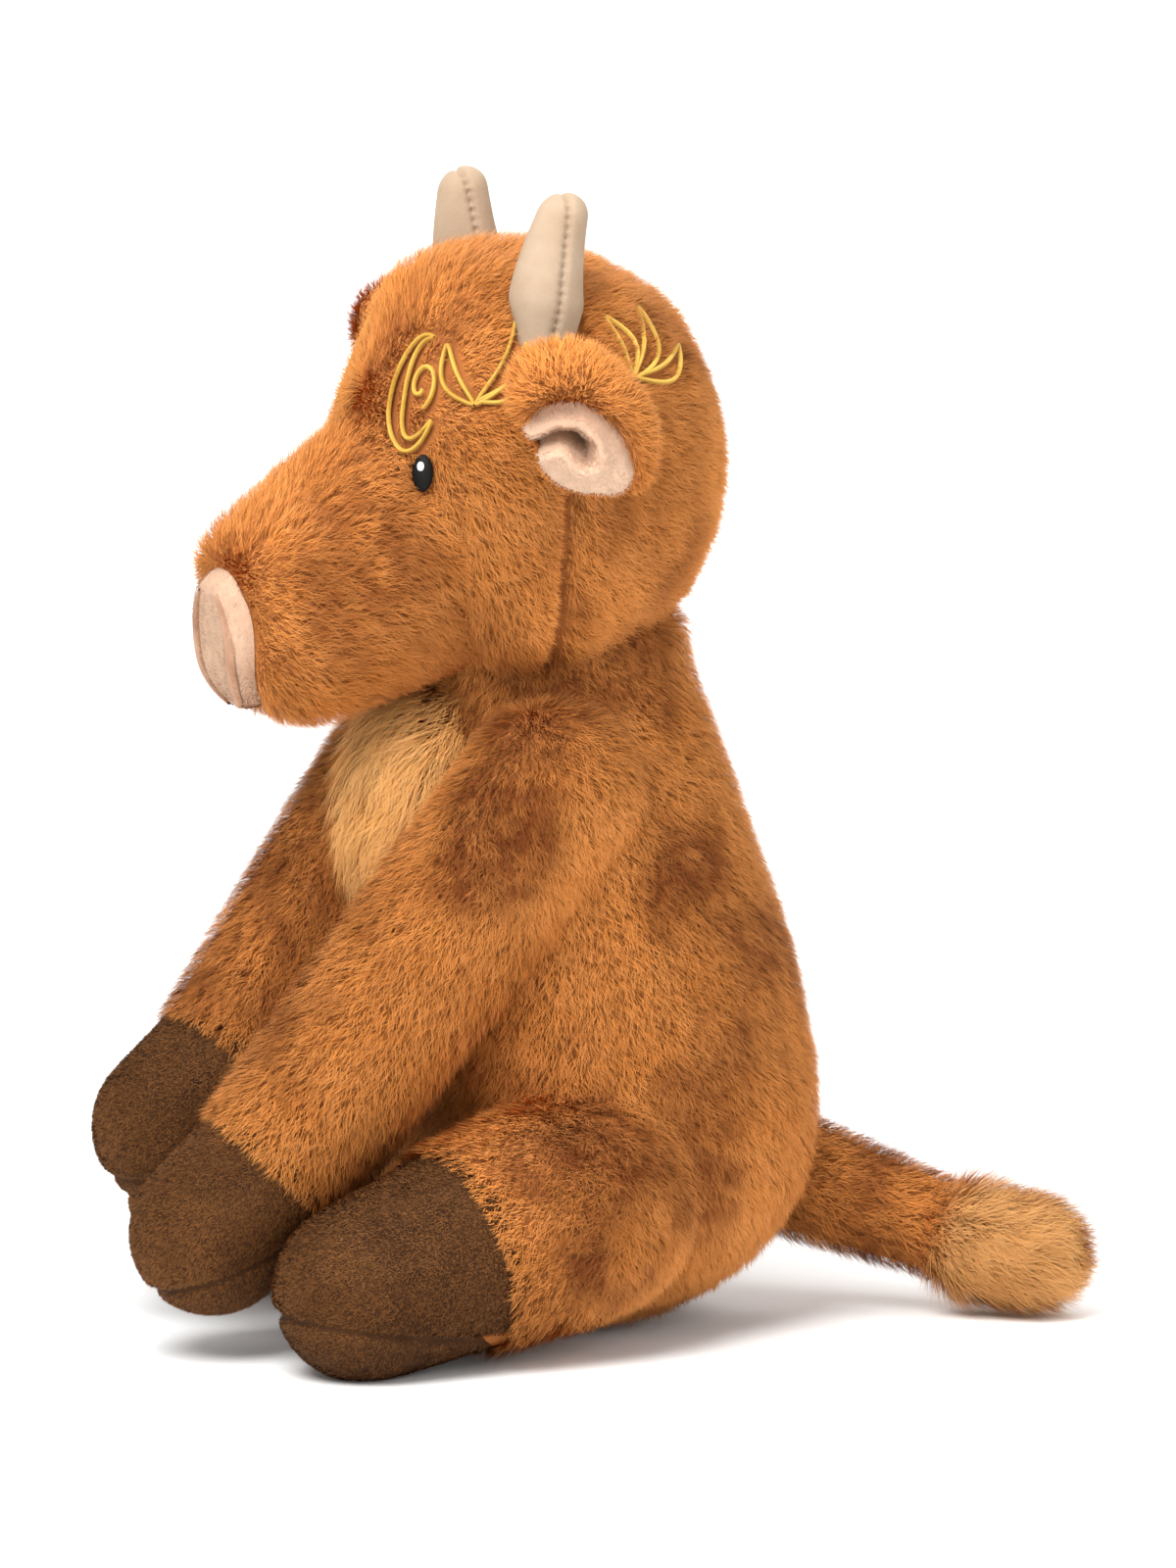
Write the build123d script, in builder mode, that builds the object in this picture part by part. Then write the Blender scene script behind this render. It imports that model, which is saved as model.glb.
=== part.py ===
from build123d import *
import os

# A seated plush calf, sewn from pile fabric panels over loose stuffing. Millimetres, +Z up.
# It faces -Y, and its own left side is +X. The origin is the middle of the flat seat, on the
# surface that it sits on. Every limb is a sewn-on tube whose root is a ball about the point
# where the fabric bends, so the root keeps its clearance while the limb swings.

# ---- Fabric and gaps ----
PLUSH = 2.5  # backing cloth and trapped pile root of the plush panels
VELOUR = 1.5  # short-pile cloth of the hooves, horns, nose and ear linings
GAP = 0.5  # between pieces that move against each other
LIE = 0.3  # between a sewn-on patch and the curved panel under it
PATCH = 1.2  # thickness of satin stitching and small patches

# ---- Torso ----
# height, middle in Y, half width in X, half depth in Y
TORSO_STATIONS = [
    (0, -4, 36, 30),
    (8, -3, 51, 44),
    (30, -1, 61, 53),
    (60, 0, 64, 55),
    (95, -1, 60, 52),
    (125, -3, 53, 47),
    (146, -6, 45, 43),
    (158, -9, 34, 34),
]
SEAT_SEAM_Z = 10
BELLY_SEAM_Y = -20
PELLET_BAG_CENTRE = (0, 22, 38)
PELLET_BAG_RADIUS = 14
RUFF_CENTRE = (0, -46, 129)
RUFF_HALF_WIDTH = 8.5
RUFF_HEIGHT = 28

# ---- Neck and head ----
NECK = (0, -12, 176)
NECK_BALL = 22
NECK_STEM = 12
NECK_STEM_FOOT = 132
SKULL = (0, -17, 221)
SKULL_RADIUS = 52
SKULL_HEIGHT = 57
MUZZLE_ROOT = (0, -50, 204)
MUZZLE_TIP = (0, -78, 186.5)
MUZZLE_ROOT_RADIUS = 35
MUZZLE_TIP_RADIUS = 29
EAR_SEAM_Y = -24
GUSSET_HALF = 18
NOSE_SHARE = 1.72  # where the nose pad is sewn on, counted from the muzzle's root to its tip
NOSTRIL_RADIUS = 13
NOSTRIL_DROP = 5
EYE = (31.5, -58.3, 223.5)
EYE_WAY = (0.72, -0.68, 0.1)
EYE_RADIUS = 4.4
EYE_GLINT_RADIUS = 1.2
EYE_REACH = 8  # how far the eye's outline is carried through the panel
SCROLL_LOOPS = [(14, 250, 7), (22, 262, 5)]  # middle X, middle Z, radius
SCROLL_LINE = 1.6
SCROLL_FRONT_Y = 30
SCROLL_DEPTH = 60
HORN_ROOT_RADIUS = 10
HORN_TIP_RADIUS = 6.5
HORN_FOOT = (33, -25, 258)
HORN_TIP = (33, -20.5, 286.5)
EAR_ROOT = (45.5, -29, 247)
EAR_BALL = 5
EAR_STALK = 3
EAR_ROOM_RADIUS = 9
EAR_CUP_CENTRE = (66, -30, 236)
EAR_CUP_OPENING = (0.9, -0.38, -0.22)
EAR_BOWL_RADIUS = 21
EAR_CUP_DEPTH = 12
EAR_PLUSH = 3.5

# ---- Front legs: shoulder, cuff, tip of the hoof, and the swing either way ----
FRONT_LEGS = {
    "left": ((40, -26, 143), (25, -95, 49), (23, -110, 33.5)),
    "right": ((-40, -26, 146), (-25, -88, 66), (-23, -103, 53)),
}
FRONT_ROOT_RADIUS = 25
FRONT_CUFF_RADIUS = 22.5
FRONT_HOOF_RADIUS = 20
FRONT_SWING_UP = 15
FRONT_SWING_DOWN = 4
FRONT_ROOM_X = 9.5

# ---- Hind legs ----
HIND_LEGS = {
    "left": ((49, -22, 38.5), (55, -56, 29.5), (60, -83, 22)),
    "right": ((-49, -22, 38.5), (-65, -48, 29.5), (-78, -70, 22)),
}
HIND_ROOT_RADIUS = 32
HIND_CUFF_RADIUS = 28
HIND_HOOF_RADIUS = 22
HOOF_STEP = 2  # how far the hoof's cloth steps in from the leg's pile at the cuff
HIND_SWING_UP = 8
HIND_ROOM_X = 14

# ---- Tail ----
TAIL_ROOT = (4, 55, 33)
TAIL_CUFF = (36, 91, 19)
TAIL_TIP = (46, 103, 16.5)
TAIL_ROOT_RADIUS = 13
TAIL_ROOM_RADIUS = 15.5
TAIL_CUFF_RADIUS = 11.5
TUFT_RADIUS = 16

ROOM_LENGTH = 140  # how far the space for a swinging leg is carried along the leg
ROOM_DEPTH = 90  # and out to the side
BIG = 800  # more than twice the toy, for cutting blocks
SIDES = {"left": 1, "right": -1}


def export(part, name):
    """Label a finished piece and write its STEP file."""
    part.label = name
    export_step(part, f"parts/{name}.step")


def tapered_tube(start, end, start_radius, end_radius):
    """The solid that wraps a ball at each end and the cone between them."""
    axis = Vector(end) - Vector(start)
    plane = Plane(origin=start, x_dir=axis, z_dir=axis.cross(Vector(1, 0, 0.1)))
    reach = 2 * (axis.length + start_radius + end_radius)
    with BuildPart() as tube:
        with BuildSketch(plane):
            Circle(start_radius)
            with Locations((axis.length, 0)):
                Circle(end_radius)
            make_hull()
            Rectangle(reach, reach, align=(Align.CENTER, Align.MAX), mode=Mode.SUBTRACT)
        revolve(axis=Axis(start, axis))
    return tube.part


def spheroid(centre, axis, radius, half_length):
    """An ellipse turned about its axis."""
    direction = Vector(axis).normalized()
    plane = Plane(origin=centre, x_dir=direction, z_dir=direction.cross(Vector(0.1, 0.2, 1)))
    with BuildPart() as body:
        with BuildSketch(plane):
            Ellipse(half_length, radius)
            Rectangle(BIG, BIG, align=(Align.CENTER, Align.MAX), mode=Mode.SUBTRACT)
        revolve(axis=Axis(centre, direction))
    return body.part


def ball(centre, radius):
    """A sphere at a point."""
    return Pos(*centre) * Sphere(radius, mode=Mode.PRIVATE)


def side_of(point, direction):
    """A block that fills the half space beyond a point, in a direction."""
    standing = (Align.CENTER, Align.CENTER, Align.MIN)
    return Plane(origin=point, z_dir=direction) * Box(BIG, BIG, BIG, align=standing, mode=Mode.PRIVATE)


def between(point_a, point_b, share):
    """The point that share of the way from a to b."""
    return Vector(point_a) + (Vector(point_b) - Vector(point_a)) * share


def swing_room(points, radius, swing_down, swing_up, inner_x):
    """The space a leg sweeps as it swings about X, carried out to the side from inner_x."""
    root, cuff, _ = points
    outwards = 1 if root[0] > 0 else -1
    lean = Vector(cuff[1] - root[1], cuff[2] - root[2])
    pitch = -lean.get_angle(Vector(1, 0))
    with BuildPart() as room:
        with BuildSketch(Plane.YZ.offset(outwards * inner_x)):
            with Locations((root[1], root[2])):
                Circle(radius)
                for turn in (-swing_up, 0, swing_down):
                    Rectangle(ROOM_LENGTH, 2 * radius, pitch + turn, align=(Align.MIN, Align.CENTER))
        extrude(amount=outwards * ROOM_DEPTH)
    return room.part


def limb_rooms(extra):
    """All the space that the torso leaves free for the limbs, grown by extra."""
    with BuildPart() as rooms:
        for points in FRONT_LEGS.values():
            radius = FRONT_ROOT_RADIUS + GAP + extra
            add(swing_room(points, radius, FRONT_SWING_DOWN, FRONT_SWING_UP, FRONT_ROOM_X - extra))
        for points in HIND_LEGS.values():
            radius = HIND_ROOT_RADIUS + GAP + extra
            add(swing_room(points, radius, 0, HIND_SWING_UP, HIND_ROOM_X - extra))
        add(ball(TAIL_ROOT, TAIL_ROOM_RADIUS + extra))
    return rooms.part


def pear(inset):
    """The torso's outline, drawn in by inset."""
    top = TORSO_STATIONS[-1][0]
    with BuildPart() as body:
        for height, middle, half_width, half_depth in TORSO_STATIONS:
            level = min(max(height, inset), top - inset)
            with BuildSketch(Plane.XY.offset(level)):
                with Locations((0, middle)):
                    Ellipse(half_width - inset, half_depth - inset)
        loft()
        add(limb_rooms(inset), mode=Mode.SUBTRACT)
        add(ball(NECK, NECK_BALL + GAP + inset), mode=Mode.SUBTRACT)
        with BuildSketch(Plane.XY.offset(NECK_STEM_FOOT - GAP)):
            with Locations(NECK[:2]):
                Circle(NECK_STEM + GAP)
        extrude(amount=NECK[2] - NECK_STEM_FOOT, mode=Mode.SUBTRACT)
    return body.part


def make_torso():
    """The torso's four panels, its stuffing, the bag of pellets in its seat and the chest ruff."""
    outside = pear(0)
    inside = pear(PLUSH)
    shell = outside - inside
    above_seat = side_of((0, 0, SEAT_SEAM_Z), (0, 0, 1))
    behind = side_of((0, BELLY_SEAM_Y, 0), (0, 1, 0))

    with BuildPart() as seat_panel:
        add(shell)
        add(above_seat, mode=Mode.SUBTRACT)
    export(seat_panel.part, "seat_panel")

    with BuildPart() as belly_panel:
        add(shell)
        add(above_seat, mode=Mode.INTERSECT)
        add(behind, mode=Mode.SUBTRACT)
    export(belly_panel.part, "belly_panel")

    for side, outwards in SIDES.items():
        with BuildPart() as back_panel:
            add(shell)
            add(above_seat, mode=Mode.INTERSECT)
            add(behind, mode=Mode.INTERSECT)
            add(side_of((0, 0, 0), (outwards, 0, 0)), mode=Mode.INTERSECT)
        export(back_panel.part, f"back_panel_{side}")

    with BuildPart() as pellet_bag:
        add(ball(PELLET_BAG_CENTRE, PELLET_BAG_RADIUS))
    export(pellet_bag.part, "pellet_bag")

    with BuildPart() as torso_stuffing:
        add(inside)
        add(pellet_bag.part, mode=Mode.SUBTRACT)
    export(torso_stuffing.part, "torso_stuffing")

    with BuildPart() as chest_ruff:
        add(spheroid(RUFF_CENTRE, (0, -0.15, 1), 22, RUFF_HEIGHT))
        with Locations(RUFF_CENTRE):
            Box(2 * RUFF_HALF_WIDTH, BIG, BIG, mode=Mode.INTERSECT)
        add(outside, mode=Mode.SUBTRACT)
        add(side_of(RUFF_CENTRE, (0, 1, 0)), mode=Mode.SUBTRACT)
    export(chest_ruff.part, "chest_ruff")


def make_neck():
    """The stuffed plug that carries the head: a ball on a stem."""
    with BuildPart() as neck_stuffing:
        add(ball(NECK, NECK_BALL))
        with BuildSketch(Plane.XY.offset(NECK_STEM_FOOT)):
            with Locations(NECK[:2]):
                Circle(NECK_STEM)
        extrude(amount=NECK[2] - NECK_STEM_FOOT)
    export(neck_stuffing.part, "neck_stuffing")


def head_form(inset):
    """The skull and the muzzle, drawn in by inset."""
    with BuildPart() as form:
        add(spheroid(SKULL, (0, 0, 1), SKULL_RADIUS - inset, SKULL_HEIGHT - inset))
        add(tapered_tube(MUZZLE_ROOT, MUZZLE_TIP, MUZZLE_ROOT_RADIUS - inset, MUZZLE_TIP_RADIUS - inset))
        add(ball(NECK, NECK_BALL + GAP), mode=Mode.SUBTRACT)
    return form.part


def mirrored(point, outwards):
    """The same point on the left or the right side."""
    return (outwards * point[0], point[1], point[2])


def horn_form(outwards, inset):
    """One horn, drawn in by inset."""
    foot = mirrored(HORN_FOOT, outwards)
    tip = mirrored(HORN_TIP, outwards)
    return tapered_tube(foot, tip, HORN_ROOT_RADIUS - inset, HORN_TIP_RADIUS - inset)


def make_head():
    """The head's panels and stuffing, with the muzzle, nose and eyes."""
    outside = head_form(0)
    inside = head_form(PLUSH)
    muzzle_way = Vector(MUZZLE_TIP) - Vector(MUZZLE_ROOT)
    muzzle_block = side_of(between(MUZZLE_ROOT, MUZZLE_TIP, -0.05), muzzle_way)
    nose_block = side_of(between(MUZZLE_ROOT, MUZZLE_TIP, NOSE_SHARE), muzzle_way)
    behind = side_of((0, EAR_SEAM_Y, 0), (0, 1, 0))
    shell = outside - inside
    for outwards in SIDES.values():
        horn = horn_form(outwards, 0)
        # The ball lies on its side, so that its poles stay clear of the panels.
        ear_socket = Pos(*mirrored(EAR_ROOT, outwards)) * Rot(0, 90, 0) * Sphere(EAR_ROOM_RADIUS)
        shell = shell - horn - ear_socket
        inside = inside - horn - ear_socket

    with BuildPart() as head_stuffing:
        add(inside)
    export(head_stuffing.part, "head_stuffing")

    standing = (Align.CENTER, Align.CENTER, Align.MIN)
    gusset_block = Pos(*SKULL) * Box(2 * GUSSET_HALF, BIG, BIG, align=standing)

    with BuildPart() as forehead_panel:
        add(shell)
        add(behind, mode=Mode.SUBTRACT)
        add(muzzle_block, mode=Mode.SUBTRACT)
        add(gusset_block, mode=Mode.INTERSECT)
    export(forehead_panel.part, "forehead_panel")

    for side, outwards in SIDES.items():
        own_side = side_of((0, 0, 0), (outwards, 0, 0))
        with BuildPart() as head_back:
            add(shell)
            add(behind, mode=Mode.INTERSECT)
            add(own_side, mode=Mode.INTERSECT)
        export(head_back.part, f"head_back_{side}")

        with BuildPart() as cheek:
            add(shell)
            add(behind, mode=Mode.SUBTRACT)
            add(muzzle_block, mode=Mode.SUBTRACT)
            add(own_side, mode=Mode.INTERSECT)
            add(gusset_block, mode=Mode.SUBTRACT)
        # The cut at the horn's foot can leave a speck behind.
        export(cheek.part.solids().sort_by(SortBy.VOLUME)[-1], f"cheek_{side}")

    chin_up = Vector(1, 0, 0).cross(muzzle_way)
    chin_block = side_of(MUZZLE_TIP, chin_up if chin_up.Z < 0 else chin_up * -1)
    with BuildPart() as muzzle_top:
        add(shell)
        add(muzzle_block, mode=Mode.INTERSECT)
        add(behind, mode=Mode.SUBTRACT)
        add(nose_block, mode=Mode.SUBTRACT)
        add(chin_block, mode=Mode.SUBTRACT)
    export(muzzle_top.part, "muzzle_top")

    with BuildPart() as muzzle_chin:
        add(shell)
        add(muzzle_block, mode=Mode.INTERSECT)
        add(behind, mode=Mode.SUBTRACT)
        add(nose_block, mode=Mode.SUBTRACT)
        add(chin_block, mode=Mode.INTERSECT)
    export(muzzle_chin.part, "muzzle_chin")

    with BuildPart() as nose_pad:
        add(shell)
        add(nose_block, mode=Mode.INTERSECT)
    export(nose_pad.part, "nose_pad")

    nose_plane = Plane(origin=MUZZLE_TIP, x_dir=(1, 0, 0), z_dir=muzzle_way)
    with BuildPart() as nostril_stitching:
        with BuildSketch(nose_plane):
            Circle(NOSTRIL_RADIUS)
            with Locations((0, NOSTRIL_DROP)):
                Circle(NOSTRIL_RADIUS, mode=Mode.SUBTRACT)
        extrude(amount=BIG / 4)
        add(head_form(-LIE - PATCH), mode=Mode.INTERSECT)
        add(head_form(-LIE), mode=Mode.SUBTRACT)
    export(nostril_stitching.part, "nostril_stitching")


def make_face_details():
    """The stitched eyes with their glints, and the gold scrolls on the forehead."""
    on_panel = head_form(-LIE)
    raised = head_form(-LIE - PATCH)
    for side, outwards in SIDES.items():
        eye_at = mirrored(EYE, outwards)
        eye_way = mirrored(EYE_WAY, outwards)
        eye_plane = Plane(origin=eye_at, x_dir=Vector(0, 0, 1).cross(Vector(eye_way)), z_dir=eye_way)
        with BuildPart() as eye:
            with BuildSketch(eye_plane.offset(-EYE_REACH)):
                Ellipse(EYE_RADIUS * 0.6, EYE_RADIUS)
            extrude(amount=2 * EYE_REACH)
            add(raised, mode=Mode.INTERSECT)
            add(on_panel, mode=Mode.SUBTRACT)
        glint_form = tapered_tube(
            Vector(eye_at) + Vector(0, 0, 1.4),
            Vector(eye_at) + Vector(0, 0, 1.4) + Vector(eye_way) * 4,
            EYE_GLINT_RADIUS,
            EYE_GLINT_RADIUS,
        )
        with BuildPart() as eye_glint:
            add(eye.part)
            add(glint_form, mode=Mode.INTERSECT)
        export(eye_glint.part, f"eye_glint_{side}")
        export(eye.part - glint_form, f"eye_{side}")

    with BuildPart() as forehead_scrolls:
        for outwards in SIDES.values():
            for middle_x, middle_z, radius in SCROLL_LOOPS:
                with BuildSketch(Plane.XZ.offset(SCROLL_FRONT_Y)):
                    with Locations((outwards * middle_x, middle_z)):
                        Circle(radius)
                        Circle(radius - SCROLL_LINE, mode=Mode.SUBTRACT)
                extrude(amount=SCROLL_DEPTH)
        add(raised, mode=Mode.INTERSECT)
        add(on_panel, mode=Mode.SUBTRACT)
    export(forehead_scrolls.part, "forehead_scrolls")


def make_horns():
    """Two velour panels sewn up the inner and outer sides, over stuffing, for each horn."""
    seam_way = (Vector(HORN_TIP) - Vector(HORN_FOOT)).cross(Vector(1, 0, 0))
    for side, outwards in SIDES.items():
        outside = horn_form(outwards, 0)
        inside = horn_form(outwards, VELOUR)
        seam = side_of(mirrored(HORN_FOOT, outwards), seam_way)
        with BuildPart() as front_panel:
            add(outside)
            add(inside, mode=Mode.SUBTRACT)
            add(seam, mode=Mode.SUBTRACT)
        with BuildPart() as back_panel:
            add(outside)
            add(inside, mode=Mode.SUBTRACT)
            add(seam, mode=Mode.INTERSECT)
        export(front_panel.part, f"horn_{side}_front_panel")
        export(back_panel.part, f"horn_{side}_back_panel")
        with BuildPart() as horn_stuffing:
            add(inside)
        export(horn_stuffing.part, f"horn_{side}_stuffing")


def make_ears():
    """A plush cup on a stalk, with a velour lining sewn inside it, and the same mirrored."""
    mouth_middle = Vector(EAR_CUP_CENTRE)
    opening = Vector(EAR_CUP_OPENING).normalized()
    mouth = side_of(mouth_middle, opening)
    bowl_middle = mouth_middle + opening * (EAR_BOWL_RADIUS - EAR_CUP_DEPTH)
    stalk_end = mouth_middle - opening * (EAR_CUP_DEPTH - EAR_PLUSH)
    hollow = ball(bowl_middle, EAR_BOWL_RADIUS - EAR_PLUSH)
    with BuildPart() as ear_back:
        add(ball(bowl_middle, EAR_BOWL_RADIUS))
        add(tapered_tube(EAR_ROOT, stalk_end, EAR_BALL, EAR_STALK))
        add(hollow, mode=Mode.SUBTRACT)
        add(mouth, mode=Mode.SUBTRACT)
    with BuildPart() as ear_lining:
        add(hollow)
        add(ball(bowl_middle, EAR_BOWL_RADIUS - EAR_PLUSH - VELOUR), mode=Mode.SUBTRACT)
        add(mouth, mode=Mode.SUBTRACT)
    for piece, name in ((ear_back.part, "ear_back"), (ear_lining.part, "ear_lining")):
        export(mirror(piece, Plane.YZ), f"{name}_right")
        export(piece, f"{name}_left")


def make_leg(name, points, root_radius, cuff_radius, hoof_radius):
    """A leg's plush tube and stuffing, and the two velour panels of its hoof."""
    root, cuff, tip = points
    leg_way = (Vector(cuff) - Vector(root)).normalized()
    hoof_way = (Vector(tip) - Vector(cuff)).normalized()
    beyond_cuff = side_of(cuff, leg_way + hoof_way)
    hoof_start = cuff_radius - HOOF_STEP
    leg_inside = tapered_tube(root, cuff, root_radius - PLUSH, cuff_radius - PLUSH)
    hoof_inside = tapered_tube(cuff, tip, hoof_start - VELOUR, hoof_radius - VELOUR)
    sole_way = hoof_way.cross(Vector(1, 0, 0))
    below_seam = side_of(cuff, sole_way if sole_way.Z < 0 else sole_way * -1)

    with BuildPart() as cover:
        add(tapered_tube(root, cuff, root_radius, cuff_radius))
        add(leg_inside, mode=Mode.SUBTRACT)
        add(beyond_cuff, mode=Mode.SUBTRACT)
    export(cover.part, f"{name}_cover")

    with BuildPart() as hoof:
        add(tapered_tube(cuff, tip, hoof_start, hoof_radius))
        add(hoof_inside, mode=Mode.SUBTRACT)
        add(beyond_cuff, mode=Mode.INTERSECT)
    with BuildPart() as hoof_top:
        add(hoof.part)
        add(below_seam, mode=Mode.SUBTRACT)
    export(hoof_top.part, f"{name}_hoof_top")
    with BuildPart() as hoof_sole:
        add(hoof.part)
        add(below_seam, mode=Mode.INTERSECT)
    export(hoof_sole.part, f"{name}_hoof_sole")

    with BuildPart() as stuffing:
        add(hoof_inside)
        add(beyond_cuff, mode=Mode.INTERSECT)
        add(leg_inside - beyond_cuff)
    export(stuffing.part, f"{name}_stuffing")


def make_tail():
    """The tail's plush tube and stuffing, and the long-pile tuft on its end."""
    way = Vector(TAIL_CUFF) - Vector(TAIL_ROOT)
    beyond_cuff = side_of(TAIL_CUFF, way)
    tail_inside = tapered_tube(TAIL_ROOT, TAIL_CUFF, TAIL_ROOT_RADIUS - PLUSH, TAIL_CUFF_RADIUS - PLUSH)

    with BuildPart() as tail_cover:
        add(tapered_tube(TAIL_ROOT, TAIL_CUFF, TAIL_ROOT_RADIUS, TAIL_CUFF_RADIUS))
        add(tail_inside, mode=Mode.SUBTRACT)
        add(beyond_cuff, mode=Mode.SUBTRACT)
    export(tail_cover.part, "tail_cover")

    with BuildPart() as tail_stuffing:
        add(tail_inside)
        add(beyond_cuff, mode=Mode.SUBTRACT)
    export(tail_stuffing.part, "tail_stuffing")

    with BuildPart() as tail_tuft:
        add(tapered_tube(TAIL_CUFF, TAIL_TIP, TAIL_CUFF_RADIUS, TUFT_RADIUS))
        add(beyond_cuff, mode=Mode.INTERSECT)
    export(tail_tuft.part, "tail_tuft")


os.makedirs("parts", exist_ok=True)
make_torso()
make_neck()
make_head()
make_face_details()
make_horns()
make_ears()
for side, points in FRONT_LEGS.items():
    make_leg(f"front_leg_{side}", points, FRONT_ROOT_RADIUS, FRONT_CUFF_RADIUS, FRONT_HOOF_RADIUS)
for side, points in HIND_LEGS.items():
    make_leg(f"hind_leg_{side}", points, HIND_ROOT_RADIUS, HIND_CUFF_RADIUS, HIND_HOOF_RADIUS)
make_tail()
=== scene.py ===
import math

import bmesh
import bpy
import numpy as np
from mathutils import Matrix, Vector
from mathutils.bvhtree import BVHTree
from mathutils.kdtree import KDTree


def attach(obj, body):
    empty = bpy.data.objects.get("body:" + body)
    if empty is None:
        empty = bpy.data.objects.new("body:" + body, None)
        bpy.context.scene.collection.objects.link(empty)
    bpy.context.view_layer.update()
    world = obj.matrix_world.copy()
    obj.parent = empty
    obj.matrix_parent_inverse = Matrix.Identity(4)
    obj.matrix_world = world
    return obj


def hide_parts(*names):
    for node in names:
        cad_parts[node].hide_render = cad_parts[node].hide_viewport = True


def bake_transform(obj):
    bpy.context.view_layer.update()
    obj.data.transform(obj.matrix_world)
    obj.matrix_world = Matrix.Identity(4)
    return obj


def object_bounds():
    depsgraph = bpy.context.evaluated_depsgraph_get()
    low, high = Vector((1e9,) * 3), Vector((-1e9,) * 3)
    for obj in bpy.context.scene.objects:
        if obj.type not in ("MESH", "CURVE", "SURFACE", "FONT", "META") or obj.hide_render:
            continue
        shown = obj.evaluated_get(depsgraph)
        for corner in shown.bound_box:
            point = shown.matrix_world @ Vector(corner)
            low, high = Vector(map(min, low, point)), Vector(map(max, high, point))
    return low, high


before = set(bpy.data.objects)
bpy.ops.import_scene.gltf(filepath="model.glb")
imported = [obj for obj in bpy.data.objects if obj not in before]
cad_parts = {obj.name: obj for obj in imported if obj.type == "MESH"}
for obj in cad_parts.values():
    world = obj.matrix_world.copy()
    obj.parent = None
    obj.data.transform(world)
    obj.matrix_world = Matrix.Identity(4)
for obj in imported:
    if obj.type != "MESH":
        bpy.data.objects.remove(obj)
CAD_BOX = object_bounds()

# Lengths are written in millimetres and turned into Blender's metres by mm().
RNG = np.random.default_rng(20)
SIDES = {"left": 1, "right": -1}


def mm(*xyz):
    """A point or a length in metres from millimetres."""
    return np.array(xyz, float) * 0.001 if len(xyz) > 1 else xyz[0] * 0.001


def unit(v):
    """v, or each row of v, at length 1."""
    v = np.asarray(v, float)
    return v / np.maximum(np.linalg.norm(v, axis=-1, keepdims=True), 1e-12)


# ---------------------------------------------------------------- driving sizes
PILE_INSET = mm(3.6)  # the cloth lies this far inside the pile's outline
PILE_LENGTH = mm(5.8)
LOWEST_SKIN = mm(0.2)  # what rests on the floor is flat there
TORSO_STATIONS = [  # height, middle in Y, half width, half depth
    (3.5, -11, 30, 24),
    (9, -8, 43, 37),
    (19, -3, 54, 48),
    (36, 1, 63, 55.5),
    (60, 2.5, 66, 57),
    (95, 0, 60, 53),
    (125, -4.5, 54, 46.5),
    (148, -7.5, 46, 42),
    (168, -8.5, 37, 35.5),
    (182, -7, 32, 33),
]
SKULL = mm(0, -17, 221)
SKULL_RADII = mm(52, 52, 57)
MUZZLE_BALLS = [  # middle and radius: the root, then the upper and lower corners of the blunt end
    (mm(0, -50, 202), mm(36.8)),
    (mm(12, -86, 196), mm(16.7)),
    (mm(-12, -86, 196), mm(16.7)),
    (mm(11, -81, 177), mm(20.2)),
    (mm(-11, -81, 177), mm(20.2)),
]
SKULL_BALLS = [  # what fills the skull out: forehead, top, crown and cheeks
    (mm(10, -31, 253), mm(24.7)),
    (mm(-10, -31, 253), mm(24.7)),
    (mm(0, -19, 252), mm(28.5)),
    (mm(6, 1.5, 245.5), mm(24.5)),
    (mm(-6, 1.5, 245.5), mm(24.5)),
    (mm(22, -24, 192), mm(25)),
    (mm(-22, -24, 192), mm(25)),
]
NOSE_MIDDLE = mm(0, -96, 179.5)
NOSE_WAY = unit([0, -0.91, -0.41])
FRONT_LEGS = {
    "left": (mm(40, -26, 143), mm(25, -95, 49), mm(23, -110, 33.5)),
    "right": (mm(-40, -26, 146), mm(-25, -88, 66), mm(-23, -103, 53)),
}
HIND_LEGS = {
    "left": (mm(49, -22, 38.5), mm(55, -56, 29.5), mm(60, -83, 22)),
    "right": (mm(-49, -22, 38.5), mm(-65, -48, 29.5), mm(-78, -70, 22)),
}
FRONT_LEG_RADII = mm(25), mm(22.5), mm(20)  # at the root, the cuff and the tip
HIND_LEG_RADII = mm(32), mm(28), mm(22)
TAIL = (mm(4, 55, 33), mm(36, 91, 19), mm(46, 103, 16.5))


# ---------------------------------------------------------------- mesh helpers
def new_object(name, points, faces, smooth=True):
    """A mesh object from arrays."""
    mesh = bpy.data.meshes.new(name)
    mesh.from_pydata([tuple(p) for p in points], [], [tuple(int(i) for i in f) for f in faces])
    mesh.update()
    if smooth:
        mesh.shade_smooth()
    obj = bpy.data.objects.new(name, mesh)
    bpy.context.scene.collection.objects.link(obj)
    return obj


def mesh_arrays(obj):
    """Points, triangles and point normals of an object's mesh."""
    mesh = obj.data
    mesh.calc_loop_triangles()
    points = np.zeros(len(mesh.vertices) * 3, np.float32)
    mesh.vertices.foreach_get("co", points)
    triangles = np.zeros(len(mesh.loop_triangles) * 3, np.int32)
    mesh.loop_triangles.foreach_get("vertices", triangles)
    normals = np.zeros(len(mesh.vertices) * 3, np.float32)
    mesh.vertices.foreach_get("normal", normals)
    points, normals = (values.reshape(-1, 3).astype(float) for values in (points, normals))
    return points, triangles.reshape(-1, 3), normals


def set_points(obj, points):
    """Move an object's mesh points."""
    obj.data.vertices.foreach_set("co", np.asarray(points, np.float32).ravel())
    obj.data.update()


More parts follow.
